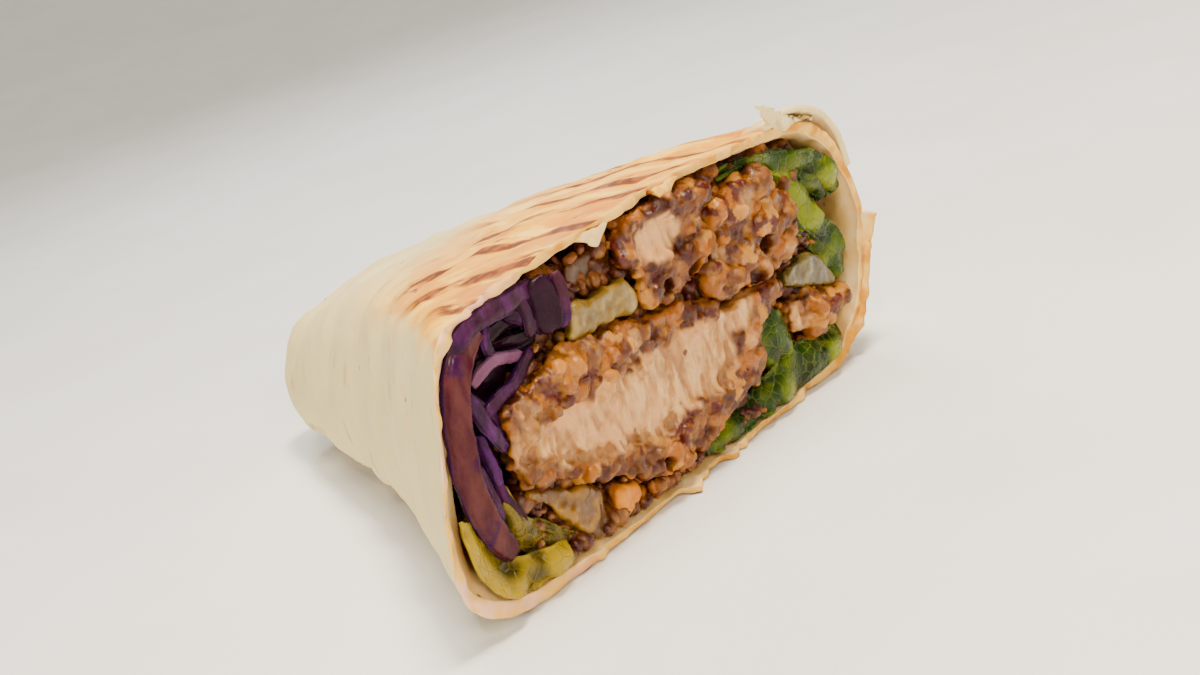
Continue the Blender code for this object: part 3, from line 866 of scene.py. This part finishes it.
def make_lobe(look):
    line = smooth_line(LOBE_LINE, 8)
    tangent = np.gradient(line, axis=0)
    lifted = np.stack([-tangent[:, 1], tangent[:, 0]], axis=1)
    lifted /= np.linalg.norm(lifted, axis=1)[:, None]
    share = np.linspace(0, 1, len(line))
    height = smooth(share / 0.3) * smooth((1 - share) / 0.5)
    sunk = smooth(1 - share / 0.16) + smooth((share - 0.84) / 0.16)
    edge = in_cut(*line.T)
    torn = 0.7 * noise(edge, 4, 52) + 0.4 * noise(edge, 1.5, 53)
    back = np.linspace(0, 1, LOBE_ROWS)[:, None]
    rise = (LOBE_LIFT * height + 0.3 * torn)[None] * (1 - back) ** 1.6
    rise = rise + 0.4 - 2.6 * back**2 - 1.8 * sunk[None] * (0.2 + 0.8 * back)
    flat = line[None] + lifted[None] * rise[..., None]
    depth = -0.5 + torn[None] * (1 - back) + LOBE_DEPTH * back
    grid = at(flat[..., 0], flat[..., 1], depth)
    points, faces = sheet_solid(grid, LOBE_THICKNESS)
    along = np.tile((LOBE_PALE_ALONG * (1 - back) ** 0.7 + depth).reshape(-1), 2)
    top = np.tile(np.broadcast_to(lifted[:, 1], depth.shape).reshape(-1), 2)
    add_dough("tortilla_lobe", points, faces, look, 92, along, top)


# Cut pieces: chicken and vegetables

FRONT_DEPTH = 11
# The rings of a layer's front: how far in from its outline each is, and how far back
FRONT_RINGS = [(0.8, 0.0), (0.3, 0.3), (0, 0.8), (0, 1.6), (0, 5), (0, FRONT_DEPTH)]
REAR_INSET = 0.4
REAR_STATIONS = (0.2, 0.35, 0.5, 0.65, 0.8, LAYER_END)
LUMP_SIDES = 2
VOXEL = 0.36
# How far behind the cut the meat shows, as the rest of each piece is breaded all round
MEAT_DEPTH = 3.4
PIT_DEPTH = 2.6
# The radii of the lumps of breading, and the sizes of its crumbs, its fine grain and its crags
LUMP_RADII = (0.7, 2.6)
CRUMB_SIZE = 2.9
GRAIN_SIZE = 1.2
CRAG_SIZE = 4.6
CRUST_SHARE = 0.85


def lump_template():
    ball = bmesh.new()
    bmesh.ops.create_icosphere(ball, subdivisions=LUMP_SIDES, radius=1)
    ball.verts.ensure_lookup_table()
    points = np.array([vert.co[:] for vert in ball.verts])
    faces = [[vert.index for vert in face.verts] for face in ball.faces]
    ball.free()
    return points, faces


def lumps_solid(centres, radii, seed):
    """Uneven lumps of the given radii round the centres, as points and faces."""
    rng = np.random.default_rng(seed)
    ball, faces = lump_template()
    solids = []
    for centre, radius in zip(centres, radii):
        shift = rng.uniform(-50, 50, 3)
        shape = ball * (1 + 0.42 * noise(ball + shift, 0.8, seed)[:, None]) * rng.uniform(0.65, 1.25, 3)
        turn = np.array(Matrix.Rotation(rng.uniform(0, 6.28), 3, Vector(rng.normal(size=3)).normalized()))
        solids.append((centre + radius * shape @ turn, faces))
    return joined(*solids)


def column_solid(rings):
    """A closed solid through rings of as many points each."""
    points = np.concatenate(rings)
    count = len(rings[0])
    faces = grid_faces(len(rings), count, closed=True)
    faces.append(list(range(count - 1, -1, -1)))
    faces.append(list(range(len(points) - count, len(points))))
    return points, faces


def front_solid(outline, front):
    """The first stretch of a layer, with its front edge rounded."""
    loop = smooth_loop(outline, 6)
    normals = outward(loop)
    rings = []
    for inset, d in FRONT_RINGS:
        edge = loop - normals * inset
        rings.append(at(edge[:, 0], edge[:, 1], d - front))
    return column_solid(rings)


def rear_solid(outline):
    """The rest of a layer, which the cut doesn't show."""
    loop = smooth_loop(outline, 3)
    s, v = (loop - outward(loop) * REAR_INSET).T
    rings = [at(s, v, FRONT_DEPTH - 2)]
    rings += [place(s, v, share) for share in REAR_STATIONS]
    return column_solid(rings)


def scattered(outline, keep_out, count, edge_gap, seed):
    """Random places inside one outline and outside the other."""
    rng = np.random.default_rng(seed)
    loop, hole = smooth_loop(outline, 4), smooth_loop(keep_out, 4)
    tries = rng.uniform(loop.min(0), loop.max(0), (count * 12, 2))
    fits = (inside_distance(*tries.T, loop) > edge_gap) & (inside_distance(*tries.T, hole) < 0.4)
    return tries[fits][:count]


def near_spots(s, v, spots, wander):
    """1 inside uneven round spots of the cut, each given by its s, v and radius, and 0 away from them."""
    found = np.zeros(len(s))
    for spot_s, spot_v, radius in spots:
        reach = np.hypot(s - spot_s, v - spot_v) / radius + wander
        found = np.maximum(found, smooth((1.3 - reach) / 0.6))
    return found


def make_chicken(
    name, outline, meat_outline, front, lumps, seed, look, big_lumps, dark_spots=(), pale_spots=(), pits=(),
):
    """A piece of breaded chicken: crumbs and lumps of breading round the meat that the cut lays open.

    big_lumps are places s, v and d with a radius. The spots and pits are places s and v with a radius."""
    rng = np.random.default_rng(seed)
    spots = scattered(outline, meat_outline, lumps, 0.4, seed)
    smallest, largest = LUMP_RADII
    radii = smallest + (largest - smallest) * rng.random(len(spots)) ** 1.8
    centres = at(spots[:, 0], spots[:, 1], rng.uniform(0.0, 1.2, len(spots)) + 0.2 * radii - front)
    big = np.array(big_lumps, float)
    centres = np.concatenate([centres, at(big[:, 0], big[:, 1], big[:, 2])])
    radii = np.concatenate([radii, big[:, 3]])
    solid = joined(front_solid(outline, front), lumps_solid(centres, radii, seed))
    points, normals, faces = remeshed(solid, VOXEL, 2)

    s, v, d = cut_coordinates(points)
    inset = inside_distance(s, v, smooth_loop(meat_outline, 6))
    wander = 1.3 * noise(points, 2.6, seed + 1) + 0.9 * noise(points * (1, 1, 0.5), 1.1, seed + 2)
    meat = smooth((inset + wander) / 1.6 + 0.5) * smooth((MEAT_DEPTH - d) / 1.5)
    warp = 0.9 * np.stack([noise(points, 2.0, seed + k) for k in (3, 4, 5)], axis=-1)
    distance, tone = crumbs(points + warp, CRUMB_SIZE, seed)
    grain = 0.6 - crumbs(points + warp * 0.5, GRAIN_SIZE, seed + 6)[0]
    crust = 1.05 * (0.62 - distance) + 0.6 * grain + 1.2 * fractal(points, CRAG_SIZE, 4, seed + 7)
    strands = np.stack([s + 0.28 * v, v * 0.2, d * 0.3], axis=-1)
    flesh = 0.36 * noise(strands, 0.85, seed + 8) + 0.5 * noise(strands, 2.1, seed + 9)
    flesh = flesh + 0.12 * noise(points, 0.8, 5)
    frayed = smooth(1 - abs(inset - 0.6) / 2.2) * (v < 20)
    flesh = flesh - 0.9 * frayed * smooth(0.5 + 1.5 * noise(strands, 1.2, seed + 10))
    height = crust * (1 - meat) + flesh * meat
    relief = np.where(d < FRONT_DEPTH - 1, height - 0.35 * meat, 0)
    spot_wander = 0.35 * noise(points, 2, seed + 11)
    # Painted shade: each pit is sunk back and painted nearly black; the dark spots are darker crust
    hollow = near_spots(s, v, pits, 0.2 * spot_wander)
    dark = np.maximum(0.95 * hollow, 0.6 * near_spots(s, v, dark_spots, spot_wander))
    meat = np.maximum(meat, 0.45 * near_spots(s, v, pale_spots, spot_wander))
    points = points + normals * (relief * CRUST_SHARE)[:, None]
    points[:, 1] += (d < 3) * hollow * PIT_DEPTH

    rear = rear_solid(outline)
    points, faces = joined((points, faces), rear)
    unseen = np.zeros(len(rear[0]))
    values = {"meat": meat, "height": height, "dark": dark, "tone": tone}
    values = {key: np.concatenate([numbers, unseen]) for key, numbers in values.items()}
    add_piece(name, points, faces, look, "fried_chicken", [name], values)


def make_all_chicken(look):
    make_chicken(
        "chicken_fillet", FILLET, FILLET_MEAT, 0.8, 300, 1, look,
        big_lumps=[
            (20, 27, 1, 2.6), (22, 31, 1, 2.2), (30, 31, 0.6, 2.4), (44, 30.6, 0.6, 2.6),
            (58, 29.4, 0.8, 2),
        ],
        dark_spots=[(46, 10, 2.6), (42, 10.5, 2), (66, 10.5, 2.4), (58, 8, 2), (33, 14, 2), (62, 29, 2)],
        pale_spots=[(20.4, 25, 3.6), (22, 30, 2.4), (47, 31, 1.6), (76, 18, 1.8)],
        pits=[(49, 7.4, 1.1)],
    )
    make_chicken(
        "chicken_strip_upper", STRIP_UPPER, STRIP_UPPER_MEAT, 0.6, 120, 2, look,
        big_lumps=[
            (55, 47, 0.6, 2), (60, 47.4, 0.4, 2.2), (67, 46, 0.4, 2.4), (68, 41, 0.6, 2),
            (55.5, 37, 0.8, 1.8),
        ],
        dark_spots=[(57, 37, 3), (64, 39.6, 2.2), (66, 47, 3), (59, 48, 3), (71, 46, 2)],
        pits=[(65.2, 35.8, 1.5), (58, 35.4, 1.2)],
    )
    make_chicken(
        "chicken_strip_right", STRIP_RIGHT, NO_MEAT, 0.5, 170, 3, look,
        big_lumps=[
            (73.6, 30, -0.4, 3.4), (78.6, 33, 0, 2.2), (84.6, 36, 0, 2.6), (90.6, 29, 0.2, 2),
            (79, 40, 0.4, 3), (87, 40.6, 0.6, 2.4),
        ],
        dark_spots=[(86, 32, 1.8), (90.6, 33.6, 2), (76.6, 36, 1.8), (70, 37, 1.6)],
        pale_spots=[(72.6, 34.6, 1.8), (91, 28, 2), (82, 41, 2.4), (84, 29, 1.6)],
        pits=[(81.5, 27.6, 1.5), (85.6, 31.4, 1.1)],
    )
    make_chicken(
        "chicken_end", CHICKEN_END, CHICKEN_END_MEAT, -0.2, 24, 4, look,
        big_lumps=[(98, 14, 0.4, 2.2), (103, 12.6, 0.6, 1.8)],
    )


def make_wet_block(name, outline, front, look, slot, bumps, seed, easing):
    """A soft, wet piece of vegetable: rounded at its cut edge and gently uneven."""
    points, normals, faces = remeshed(front_solid(outline, front), VOXEL, easing)
    height = bumps * noise(points, 3.4, seed) + 0.45 * bumps * noise(points, 1.3, seed + 1)
    points = points + normals * height[:, None]
    rear = rear_solid(outline)
    points, faces = joined((points, faces), rear)
    # Painted shade and light: the tone follows the relief, darker in the dents and lighter on the bumps
    tones = np.concatenate([height / bumps * 0.4, np.zeros(len(rear[0]))])
    add_piece(name, points, faces, look, slot, [name], {"tone": tones})


def make_wet_blocks():
    cucumber_tones = (112, 90, 46), (134, 112, 64), (166, 146, 100)
    shaded_tones = (58, 34, 13), (84, 54, 24), (120, 92, 48)
    onion_tones = (76, 64, 34), (92, 80, 46), (128, 116, 78)
    sauced_tones = (82, 55, 18), (110, 78, 30), (160, 124, 62)
    tomato_tones = (186, 116, 34), (202, 136, 48), (216, 160, 76)
    cucumber = wet_look("cucumber_flesh", cucumber_tones, 9, 0.5, 2.4, coat=0.3)
    shaded = wet_look("cucumber_shaded", shaded_tones, 5, 0.3, 2)
    onion = wet_look("onion_flesh", onion_tones, 7, 0.5, 2.4, coat=0.3)
    sauced = wet_look("soft_onion_flesh", sauced_tones, 9, 0.5, 2.4, coat=0.3)
    tomato = wet_look("tomato_flesh", tomato_tones, 5, 0.3, 2, specular=0.15)
    make_wet_block("cucumber", CUCUMBER, 0.2, cucumber, "cucumber", 0.75, 81, 18)
    make_wet_block("cucumber_deep", CUCUMBER_DEEP, -2.4, shaded, "cucumber", 0.5, 82, 6)
    make_wet_block("onion", ONION, 0.2, onion, "onion", 0.45, 83, 10)
    make_wet_block("onion_soft", SOFT_ONION, -0.4, sauced, "onion", 0.75, 84, 12)
    make_wet_block("tomato", TOMATO, 0, tomato, "tomato", 0.5, 85, 10)


# Red cabbage

# Each shred: its line as s, v and d, its width and thickness, its tone from dark (-1) to pale (1), and how
# violet it is
CABBAGE_SHREDS = [
    (
        [
            (17.5, 45.4, 1), (13, 43.2, 0.2), (10.2, 38.6, -0.2), (8.8, 33, -0.3), (8.1, 27, -0.4),
            (8.6, 21, -0.4), (10.2, 15.6, -0.3), (12.4, 10.6, 0.2),
        ],
        4.6, 1.2, 0.1, 0.0,
    ),
    (
        [(11.4, 43.4, 0.8), (15, 46.4, 0.2), (20.5, 47, 0.4), (26, 46.8, 1), (31, 46.8, 1.6)],
        3.4, 1.2, -0.2, 0.7,
    ),
    ([(30.6, 48, 0.6), (31, 44, 0), (31, 39.4, 0.2)], 5.0, 1.6, -0.7, 0.5),
    ([(34.2, 47.6, -0.6), (34.4, 43.8, -1.2), (33.6, 39.2, -0.8)], 2.4, 1.2, 0.1, 0.6),
    ([(11.6, 38.4, 1.4), (13.2, 34.4, 0.6), (14.6, 31, 0.3), (16.6, 26.6, 0.6)], 2.4, 1.0, 0.35, 1.0),
    ([(14.2, 37.6, 2.4), (17.6, 39.4, 1.8), (21, 39.2, 1.8), (25, 37.6, 2.6)], 2.2, 0.8, 0.8, 0.3),
    ([(14.4, 32.4, 1.6), (18, 34, 1.2), (22, 35, 1.2), (27, 37.8, 2.2)], 2.4, 1.0, -0.1, 0.8),
    ([(13, 43.4, 3), (18, 42.8, 3.4), (24, 43.6, 3.4), (29.6, 42, 3)], 2.6, 1.0, -0.9, 0.6),
    ([(12.4, 30.4, 2), (13.2, 26, 1.4), (14, 21.6, 1.6)], 2.0, 0.8, 0.2, 1.0),
    ([(24, 45, 2.2), (27, 42.8, 1.4), (29, 40, 1.6)], 2.2, 0.9, -0.3, 0.8),
    ([(26.8, 47, 1.2), (27.4, 43.6, 0.8), (27.4, 40, 1.2)], 2.0, 1.0, -0.5, 0.6),
    ([(16, 41.4, 3.4), (22, 40.8, 3.6), (28, 39.6, 3.2)], 2.0, 0.8, -0.8, 0.6),
    ([(11.2, 26, 2), (11.8, 21, 1.4), (12.9, 16.4, 1.4)], 1.6, 0.8, 0.0, 0.8),
    ([(7.2, 30, 1.4), (6.9, 25, 1.2), (7.6, 18.6, 1)], 1.8, 1.0, -0.6, 0.6),
    ([(13.6, 22, 1.8), (14.8, 17.6, 1.4), (16.6, 13.6, 1.6)], 1.7, 0.8, -0.2, 0.7),
    ([(13.4, 36.4, 2.4), (16.4, 31.4, 1.6), (18.4, 27, 1.6)], 1.6, 0.8, -0.4, 0.8),
    ([(19.6, 46.2, 1.6), (18.4, 43.4, 1.2), (19.2, 40.4, 1.8)], 1.8, 0.8, 0.1, 0.9),
]
SHRED_SIDES = 28
CORE_VOXEL = 0.5


def shred_solid(line, width, thickness, seed):
    """A shred of leaf swept along a line, wider than it is thick, with its place across its width."""
    path = smooth_line(line, 12)
    path = at(path[:, 0], path[:, 1], path[:, 2])
    along = np.gradient(path, axis=0)
    along /= np.linalg.norm(along, axis=1)[:, None]
    wide = np.cross(along, np.array([0.0, -1.0, -0.2]))
    wide /= np.linalg.norm(wide, axis=1)[:, None]
    deep = np.cross(along, wide)
    angle = np.linspace(0, 2 * math.pi, SHRED_SIDES, endpoint=False)
    flat = np.sign(np.cos(angle)) * abs(np.cos(angle)) ** 0.45
    thick = np.sign(np.sin(angle)) * abs(np.sin(angle)) ** 0.45
    taper = 1 - 0.35 * (abs(np.linspace(-1, 1, len(path))) ** 6)
    ribs = 0.16 * thickness * np.cos(7 * angle) * (np.sin(angle) ** 2)
    curl = 0.35 * thickness * (flat**2 - 0.4) + ribs
    lean = 0.5 * noise(path, 6, seed)
    across = width / 2 * flat[None, :] * taper[:, None]
    back = thickness / 2 * thick[None, :] * taper[:, None] + curl[None, :] + lean[:, None] * flat[None, :]
    rows = path[:, None] + wide[:, None] * across[..., None] + deep[:, None] * back[..., None]
    rows = rows + 0.22 * noise(rows, 1.5, seed + 1)[..., None] * wide[:, None]
    return column_solid(list(rows)), np.tile(flat, len(path))


def make_cabbage(look):
    solids, values = [], {"tone": [], "across": [], "violet": []}
    for i, (line, width, thickness, tone, violet) in enumerate(CABBAGE_SHREDS):
        solid, across = shred_solid(line, width, thickness, 100 + i)
        solids.append(solid)
        for key, numbers in (("tone", tone), ("across", across), ("violet", violet)):
            values[key].append(np.broadcast_to(numbers, len(across)))
    values = {key: np.concatenate(numbers) for key, numbers in values.items()}
    add_piece("cabbage_shreds", *joined(*solids), look, "red_cabbage", ["red_cabbage"], values)

    points, normals, faces = remeshed(front_solid(CABBAGE_CORE, -4.2), CORE_VOXEL, 2)
    points = points + normals * (0.9 * noise(points * (1, 0.4, 1), 2.4, 61))[:, None]
    points, faces = joined((points, faces), rear_solid(CABBAGE_CORE))
    values = {"tone": -1, "across": 0, "violet": 1}
    add_piece("cabbage_core", points, faces, look, "red_cabbage", ["red_cabbage"], values)


# Leaves

# Each leaf face at the cut: its two edges as s, v and d, and its tone from dark (-1) to light (1)
LEAF_PATCHES = {
    "lettuce_upper": [
        (
            [
                (77, 47.2, 3), (86, 46.9, 1.6), (95, 45.2, 0.6), (103, 42.4, 0.1), (108.4, 38.4, 0),
                (110.8, 33, 0.6),
            ],
            [
                (80, 45.6, 7), (88, 44, 5), (94, 41.8, 3.2), (99.6, 38.8, 2.2), (104, 36, 2.4),
                (108.6, 31.4, 3.4),
            ],
            0.1,
        ),
        (
            [
                (92, 42.6, 4.6), (95, 37.6, 3.8), (96.4, 31.6, 3.2), (99.4, 26.8, 2.2), (103.2, 22, 1.6),
                (105.2, 17, 2.6),
            ],
            [
                (98.6, 41, 2.2), (100.8, 37, 1.4), (102, 32.6, 1), (105, 28.6, 0.6), (108.4, 24, 0.2),
                (109.2, 18.2, 0.8),
            ],
            0.5,
        ),
        (
            [(97, 40.4, 3), (101, 39.8, 1), (105, 37.2, 0.4), (107.4, 33.6, 1)],
            [(96.4, 38, 4), (100.6, 36.6, 2.4), (104, 34.6, 1.8), (106, 31.6, 2.4)],
            0.2,
        ),
    ],
    "lettuce_lower": [
        (
            [(78.2, 14, 3), (80.6, 16.6, 1.6), (84, 17.8, 1.2), (87, 17.4, 1.6), (89, 15.8, 3)],
            [(78.6, 11.4, 3), (81.6, 9.8, 1.4), (85, 9.4, 0.8), (88, 10, 1.4), (90, 11.4, 3)],
            0.0,
        ),
        (
            [
                (59.2, 5.8, 2.4), (66, 6.4, 1.8), (73, 6.8, 1.6), (80, 8.6, 1.2), (88, 9.6, 0.8),
                (96, 9, 1), (104.2, 8.2, 2),
            ],
            [
                (59.4, 3, 0.2), (66, 2.8, -0.2), (74, 3, -0.4), (81, 3.2, -0.6), (89, 3.4, -0.6),
                (96, 3.8, -0.6), (103, 5.2, 0.2),
            ],
            -0.1,
        ),
    ],
    "lettuce_left": [
        (
            [
                (4.6, 21, 1.2), (4.8, 14.2, 0), (6.8, 8.8, -0.5), (11.6, 5.4, -0.6), (17.4, 3.8, -0.5),
                (23, 3.4, 0),
            ],
            [
                (6.6, 20, 2.6), (7.8, 14.8, 2), (10.2, 11.2, 1.4), (14.6, 9, 1), (19, 7.4, 1.2),
                (23.4, 6, 1.8),
            ],
            0.5,
        ),
    ],
    "lettuce_pale": [
        (
            [(14.6, 20.4, 3.4), (16.6, 14.8, 2), (20.4, 11.2, 1.6), (25.6, 6.2, 1.6)],
            [(12.6, 17.6, 3.2), (13.6, 12.6, 2.4), (16, 9.2, 2.4), (19.6, 6.8, 3)],
            0.0,
        ),
    ],
}
LEAF_LINES = {
    "lettuce_upper": LETTUCE_UPPER, "lettuce_lower": LETTUCE_LOWER, "lettuce_left": LETTUCE_LEFT,
    "lettuce_pale": PALE_LEAF,
}
LEAF_THICKNESS = 0.55
PATCH_ROWS = 26


def patch_grid(first, second, seed):
    """A crinkled leaf face between two edges, with how far each point of it is crinkled back."""
    a, b = smooth_line(first, 16), smooth_line(second, 16)
    share = np.linspace(-0.12, 1.12, PATCH_ROWS)
    flat = a[None] + (b - a)[None] * share[:, None, None]
    flat[..., 2] -= 0.9 * np.sin(math.pi * np.clip(share, 0, 1))[:, None]
    rows = at(flat[..., 0], flat[..., 1], flat[..., 2])
    edge = abs(2 * share - 1)[:, None]
    frill = 0.75 * noise(rows, 5.2, seed) + (0.1 + 0.35 * edge**2) * noise(rows, 2.3, seed + 1)
    rows[..., 1] += 2.0 * frill
    rows[..., 2] += 0.8 * noise(rows, 4.4, seed + 2)
    return rows, frill


def ribbon_grid(line, seed):
    """The leaf from just behind the cut to near the folded end, following its line."""
    path = smooth_line(line, 6)
    shares = np.concatenate([np.linspace(0.012, 0.12, 16), np.linspace(0.16, LAYER_END, 16)])
    rows = place(path[None, :, 0], path[None, :, 1], shares[:, None])
    rows[..., 2] += 0.35 * noise(rows, 4, seed)
    rows[..., 0] += 0.35 * noise(rows, 4, seed + 1)
    return rows


def make_leaves():
    green_tones = (26, 38, 3), (54, 76, 6), (128, 136, 12)
    pale_tones = (50, 46, 10), (102, 90, 20), (160, 140, 60)
    green = wet_look("green_leaf", green_tones, 9, 0.1, 0.8, (0.14, 0.34), coat=0.0, specular=0.14, veins=2.1)
    pale = wet_look("pale_leaf", pale_tones, 7, 0.2, 0.8, (0.14, 0.34), coat=0.0, specular=0.2, veins=2.8)
    looks = {
        "lettuce_upper": (green, "green_lettuce"), "lettuce_lower": (green, "green_lettuce"),
        "lettuce_left": (pale, "pale_lettuce"), "lettuce_pale": (pale, "pale_lettuce"),
    }
    for seed, (node, patches) in enumerate(LEAF_PATCHES.items()):
        solids, tones = [], []
        for k, (first, second, tone) in enumerate(patches):
            rows, frill = patch_grid(first, second, 200 + 10 * seed + k)
            solids.append(sheet_solid(rows, LEAF_THICKNESS))
            # Painted shade and light: the leaf is darker where its crinkles sit further back, and lighter
            # where they stand forward
            shade = 0.35 * noise(rows, 4, 300 + k) + tone - 1.1 * frill
            tones.append(np.tile(shade.reshape(-1), 2))
        rows = ribbon_grid(LEAF_LINES[node], 250 + seed)
        solids.append(sheet_solid(rows, LEAF_THICKNESS))
        tones.append(np.full(len(solids[-1][0]), -0.3))
        add_piece(node + "_leaf", *joined(*solids), *looks[node], [node], {"tone": np.concatenate(tones)})


# Crumbs

CRUMB_COUNT = 640
CRUMB_TRIES = 6000
# The stretch of s in which there are crumbs between the fillings
CRUMB_STRETCH = (17, 102)
# Crumbs that lie along the bottom of the cut: how many, and the stretch of s that they lie in
LOW_CRUMBS = 150
LOW_STRETCH = (19, 80)
CLEAR_OF = (
    FILLET, STRIP_UPPER, STRIP_RIGHT, CHICKEN_END, CUCUMBER, ONION, SOFT_ONION, TOMATO, CABBAGE_CORE,
)


def make_gap_crumbs(look):
    """Loose breading and sauce between the fillings, a little behind the cut, darkened as painted shade in
    the gaps.
    """
    rng = np.random.default_rng(7)
    wall = smooth_loop(WALL_INSIDE, 4)
    tries = rng.uniform(wall.min(0), wall.max(0), (CRUMB_TRIES, 2))
    fits = inside_distance(*tries.T, wall) > 0.9
    fits &= (tries[:, 0] > CRUMB_STRETCH[0]) & (tries[:, 0] < CRUMB_STRETCH[1])
    for outline in CLEAR_OF:
        fits &= inside_distance(*tries.T, smooth_loop(outline, 3)) < 0.7
    spots = tries[fits][:CRUMB_COUNT]
    radii = 0.6 + 2.0 * rng.random(len(spots)) ** 2.0
    deep = rng.uniform(0.8, 5, len(spots))
    centres = at(spots[:, 0], spots[:, 1], deep + radii)
    low_radii = rng.uniform(0.6, 1.6, LOW_CRUMBS)
    low_s = rng.uniform(*LOW_STRETCH, LOW_CRUMBS)
    floor = np.interp(low_s, (19, 40), (3.4, 2.3))
    low_v = floor + 0.4 + low_radii * rng.uniform(0.4, 1.3, LOW_CRUMBS)
    low = at(low_s, low_v, rng.uniform(0.2, 3, LOW_CRUMBS))
    centres, radii = np.concatenate([centres, low]), np.concatenate([radii, low_radii])
    points, faces = lumps_solid(centres, radii, 71)
    values = {
        "meat": 0, "height": 0.8 * noise(points, 1.1, 72) - 0.15, "tone": crumbs(points, 3.2, 74)[1],
        # Painted shade: the crumbs are darkened at random to stand for the shade in the gaps between the
        # fillings
        "dark": np.clip(0.2 + 0.7 * noise(points, 5, 73), 0, 0.9),
    }
    add_piece("gap_crumbs", points, faces, look, "fried_chicken", (), values)


# Floor, light and camera

CAMERA_PLACE = (-104.7, -289.93, 102.1)
CAMERA_AIM = (-7.0, -34.0, 25.5)
PHOTO_UP = (0.441, 0.2981, 0.8466)
CAMERA_LENS = 50

# Rings of the floor: how far out each is, and how high
FLOOR_RINGS = [
    (0.5, 0), (300, 0), (700, 0), (1000, 12), (1300, 70), (1600, 190), (1900, 380), (2100, 620),
]
FLOOR_SIDES = 96
FLOOR_DROP = 0.05

# Each light: where it is and what it points at, its size, its power in watts and its colour
LIGHTS = {
    "key": ((120, -200, 700), (0, -20, 20), 180, 9.4, (1.0, 0.88, 0.7)),
    "overhead": ((0, 0, 2400), (0, 0, 0), 1200, 36.0, (1.0, 0.93, 0.8)),
    "front": ((-60, -680, 330), (0, -50, 20), 160, 2.6, (1.0, 0.88, 0.7)),
    "left": ((-600, -200, 300), (0, -20, 20), 300, 2.1, (1.0, 0.95, 0.84)),
    "back": ((160, 620, 520), (0, 0, 20), 300, 3.0, (0.97, 0.98, 1.0)),
    "glint": ((-220, -520, 460), (0, -60, 25), 45, 1.4, (1.0, 0.95, 0.86)),
}
WORLD_COLOUR = (1.0, 0.99, 0.97, 1)
WORLD_STRENGTH = 0.13


def make_floor():
    """A pale surface that rises gently far behind, all round."""
    angles = np.linspace(0, 2 * math.pi, FLOOR_SIDES, endpoint=False)
    circle = np.stack([np.cos(angles), np.sin(angles), np.zeros(FLOOR_SIDES)], axis=-1)
    rings = [circle * reach + (0, 0, height - FLOOR_DROP) for reach, height in FLOOR_RINGS]
    faces = grid_faces(len(rings), FLOOR_SIDES, closed=True)
    faces.append(list(range(FLOOR_SIDES - 1, -1, -1)))
    mesh = raw_mesh("floor", np.concatenate(rings), faces)
    mesh.shade_smooth()
    look = Look("pale_floor", 0.6)
    look.colour(look.mix(look.patches(60, 0.35, 0.65, 2), tint(238, 238, 236), tint(242, 242, 241)))
    mesh.materials.append(look.material)
    floor = add_object("floor", mesh)


def make_lights():
    for name, (spot, aim, size, power, colour) in LIGHTS.items():
        light = bpy.data.lights.new(name, "AREA")
        light.shape = "DISK"
        light.size = size * MM
        light.energy = power
        light.color = colour
        lamp = add_object(name, light)
        lamp.location = Vector(spot) * MM
        lamp.rotation_euler = (Vector(aim) - Vector(spot)).to_track_quat("-Z", "Y").to_euler()
    world = bpy.data.worlds.new("studio")
    world.use_nodes = True
    background = world.node_tree.nodes["Background"]
    background.inputs["Color"].default_value = WORLD_COLOUR
    background.inputs["Strength"].default_value = WORLD_STRENGTH
    bpy.context.scene.world = world


def make_camera():
    camera = bpy.data.cameras.new("camera")
    camera.lens = CAMERA_LENS
    camera.sensor_width = 36
    camera.clip_start = 0.01
    viewer = add_object("camera", camera)
    spot, aim = Vector(CAMERA_PLACE) * MM, Vector(CAMERA_AIM) * MM
    forward = (aim - spot).normalized()
    up = Vector(PHOTO_UP)
    up = (up - forward * up.dot(forward)).normalized()
    right = forward.cross(up)
    turn = Matrix((right, up, -forward)).transposed()
    viewer.matrix_world = Matrix.Translation(spot) @ turn.to_4x4()
    bpy.context.scene.camera = viewer


def main():
    make_camera()
    make_floor()
    make_lights()

    dough = tortilla_look()
    make_tortilla(dough)
    make_overlap(dough)
    make_torn_bits(dough)
    make_lobe(dough)
    breading = chicken_look()
    make_all_chicken(breading)
    make_gap_crumbs(breading)
    make_cabbage(cabbage_look())
    make_leaves()
    make_wet_blocks()


main()
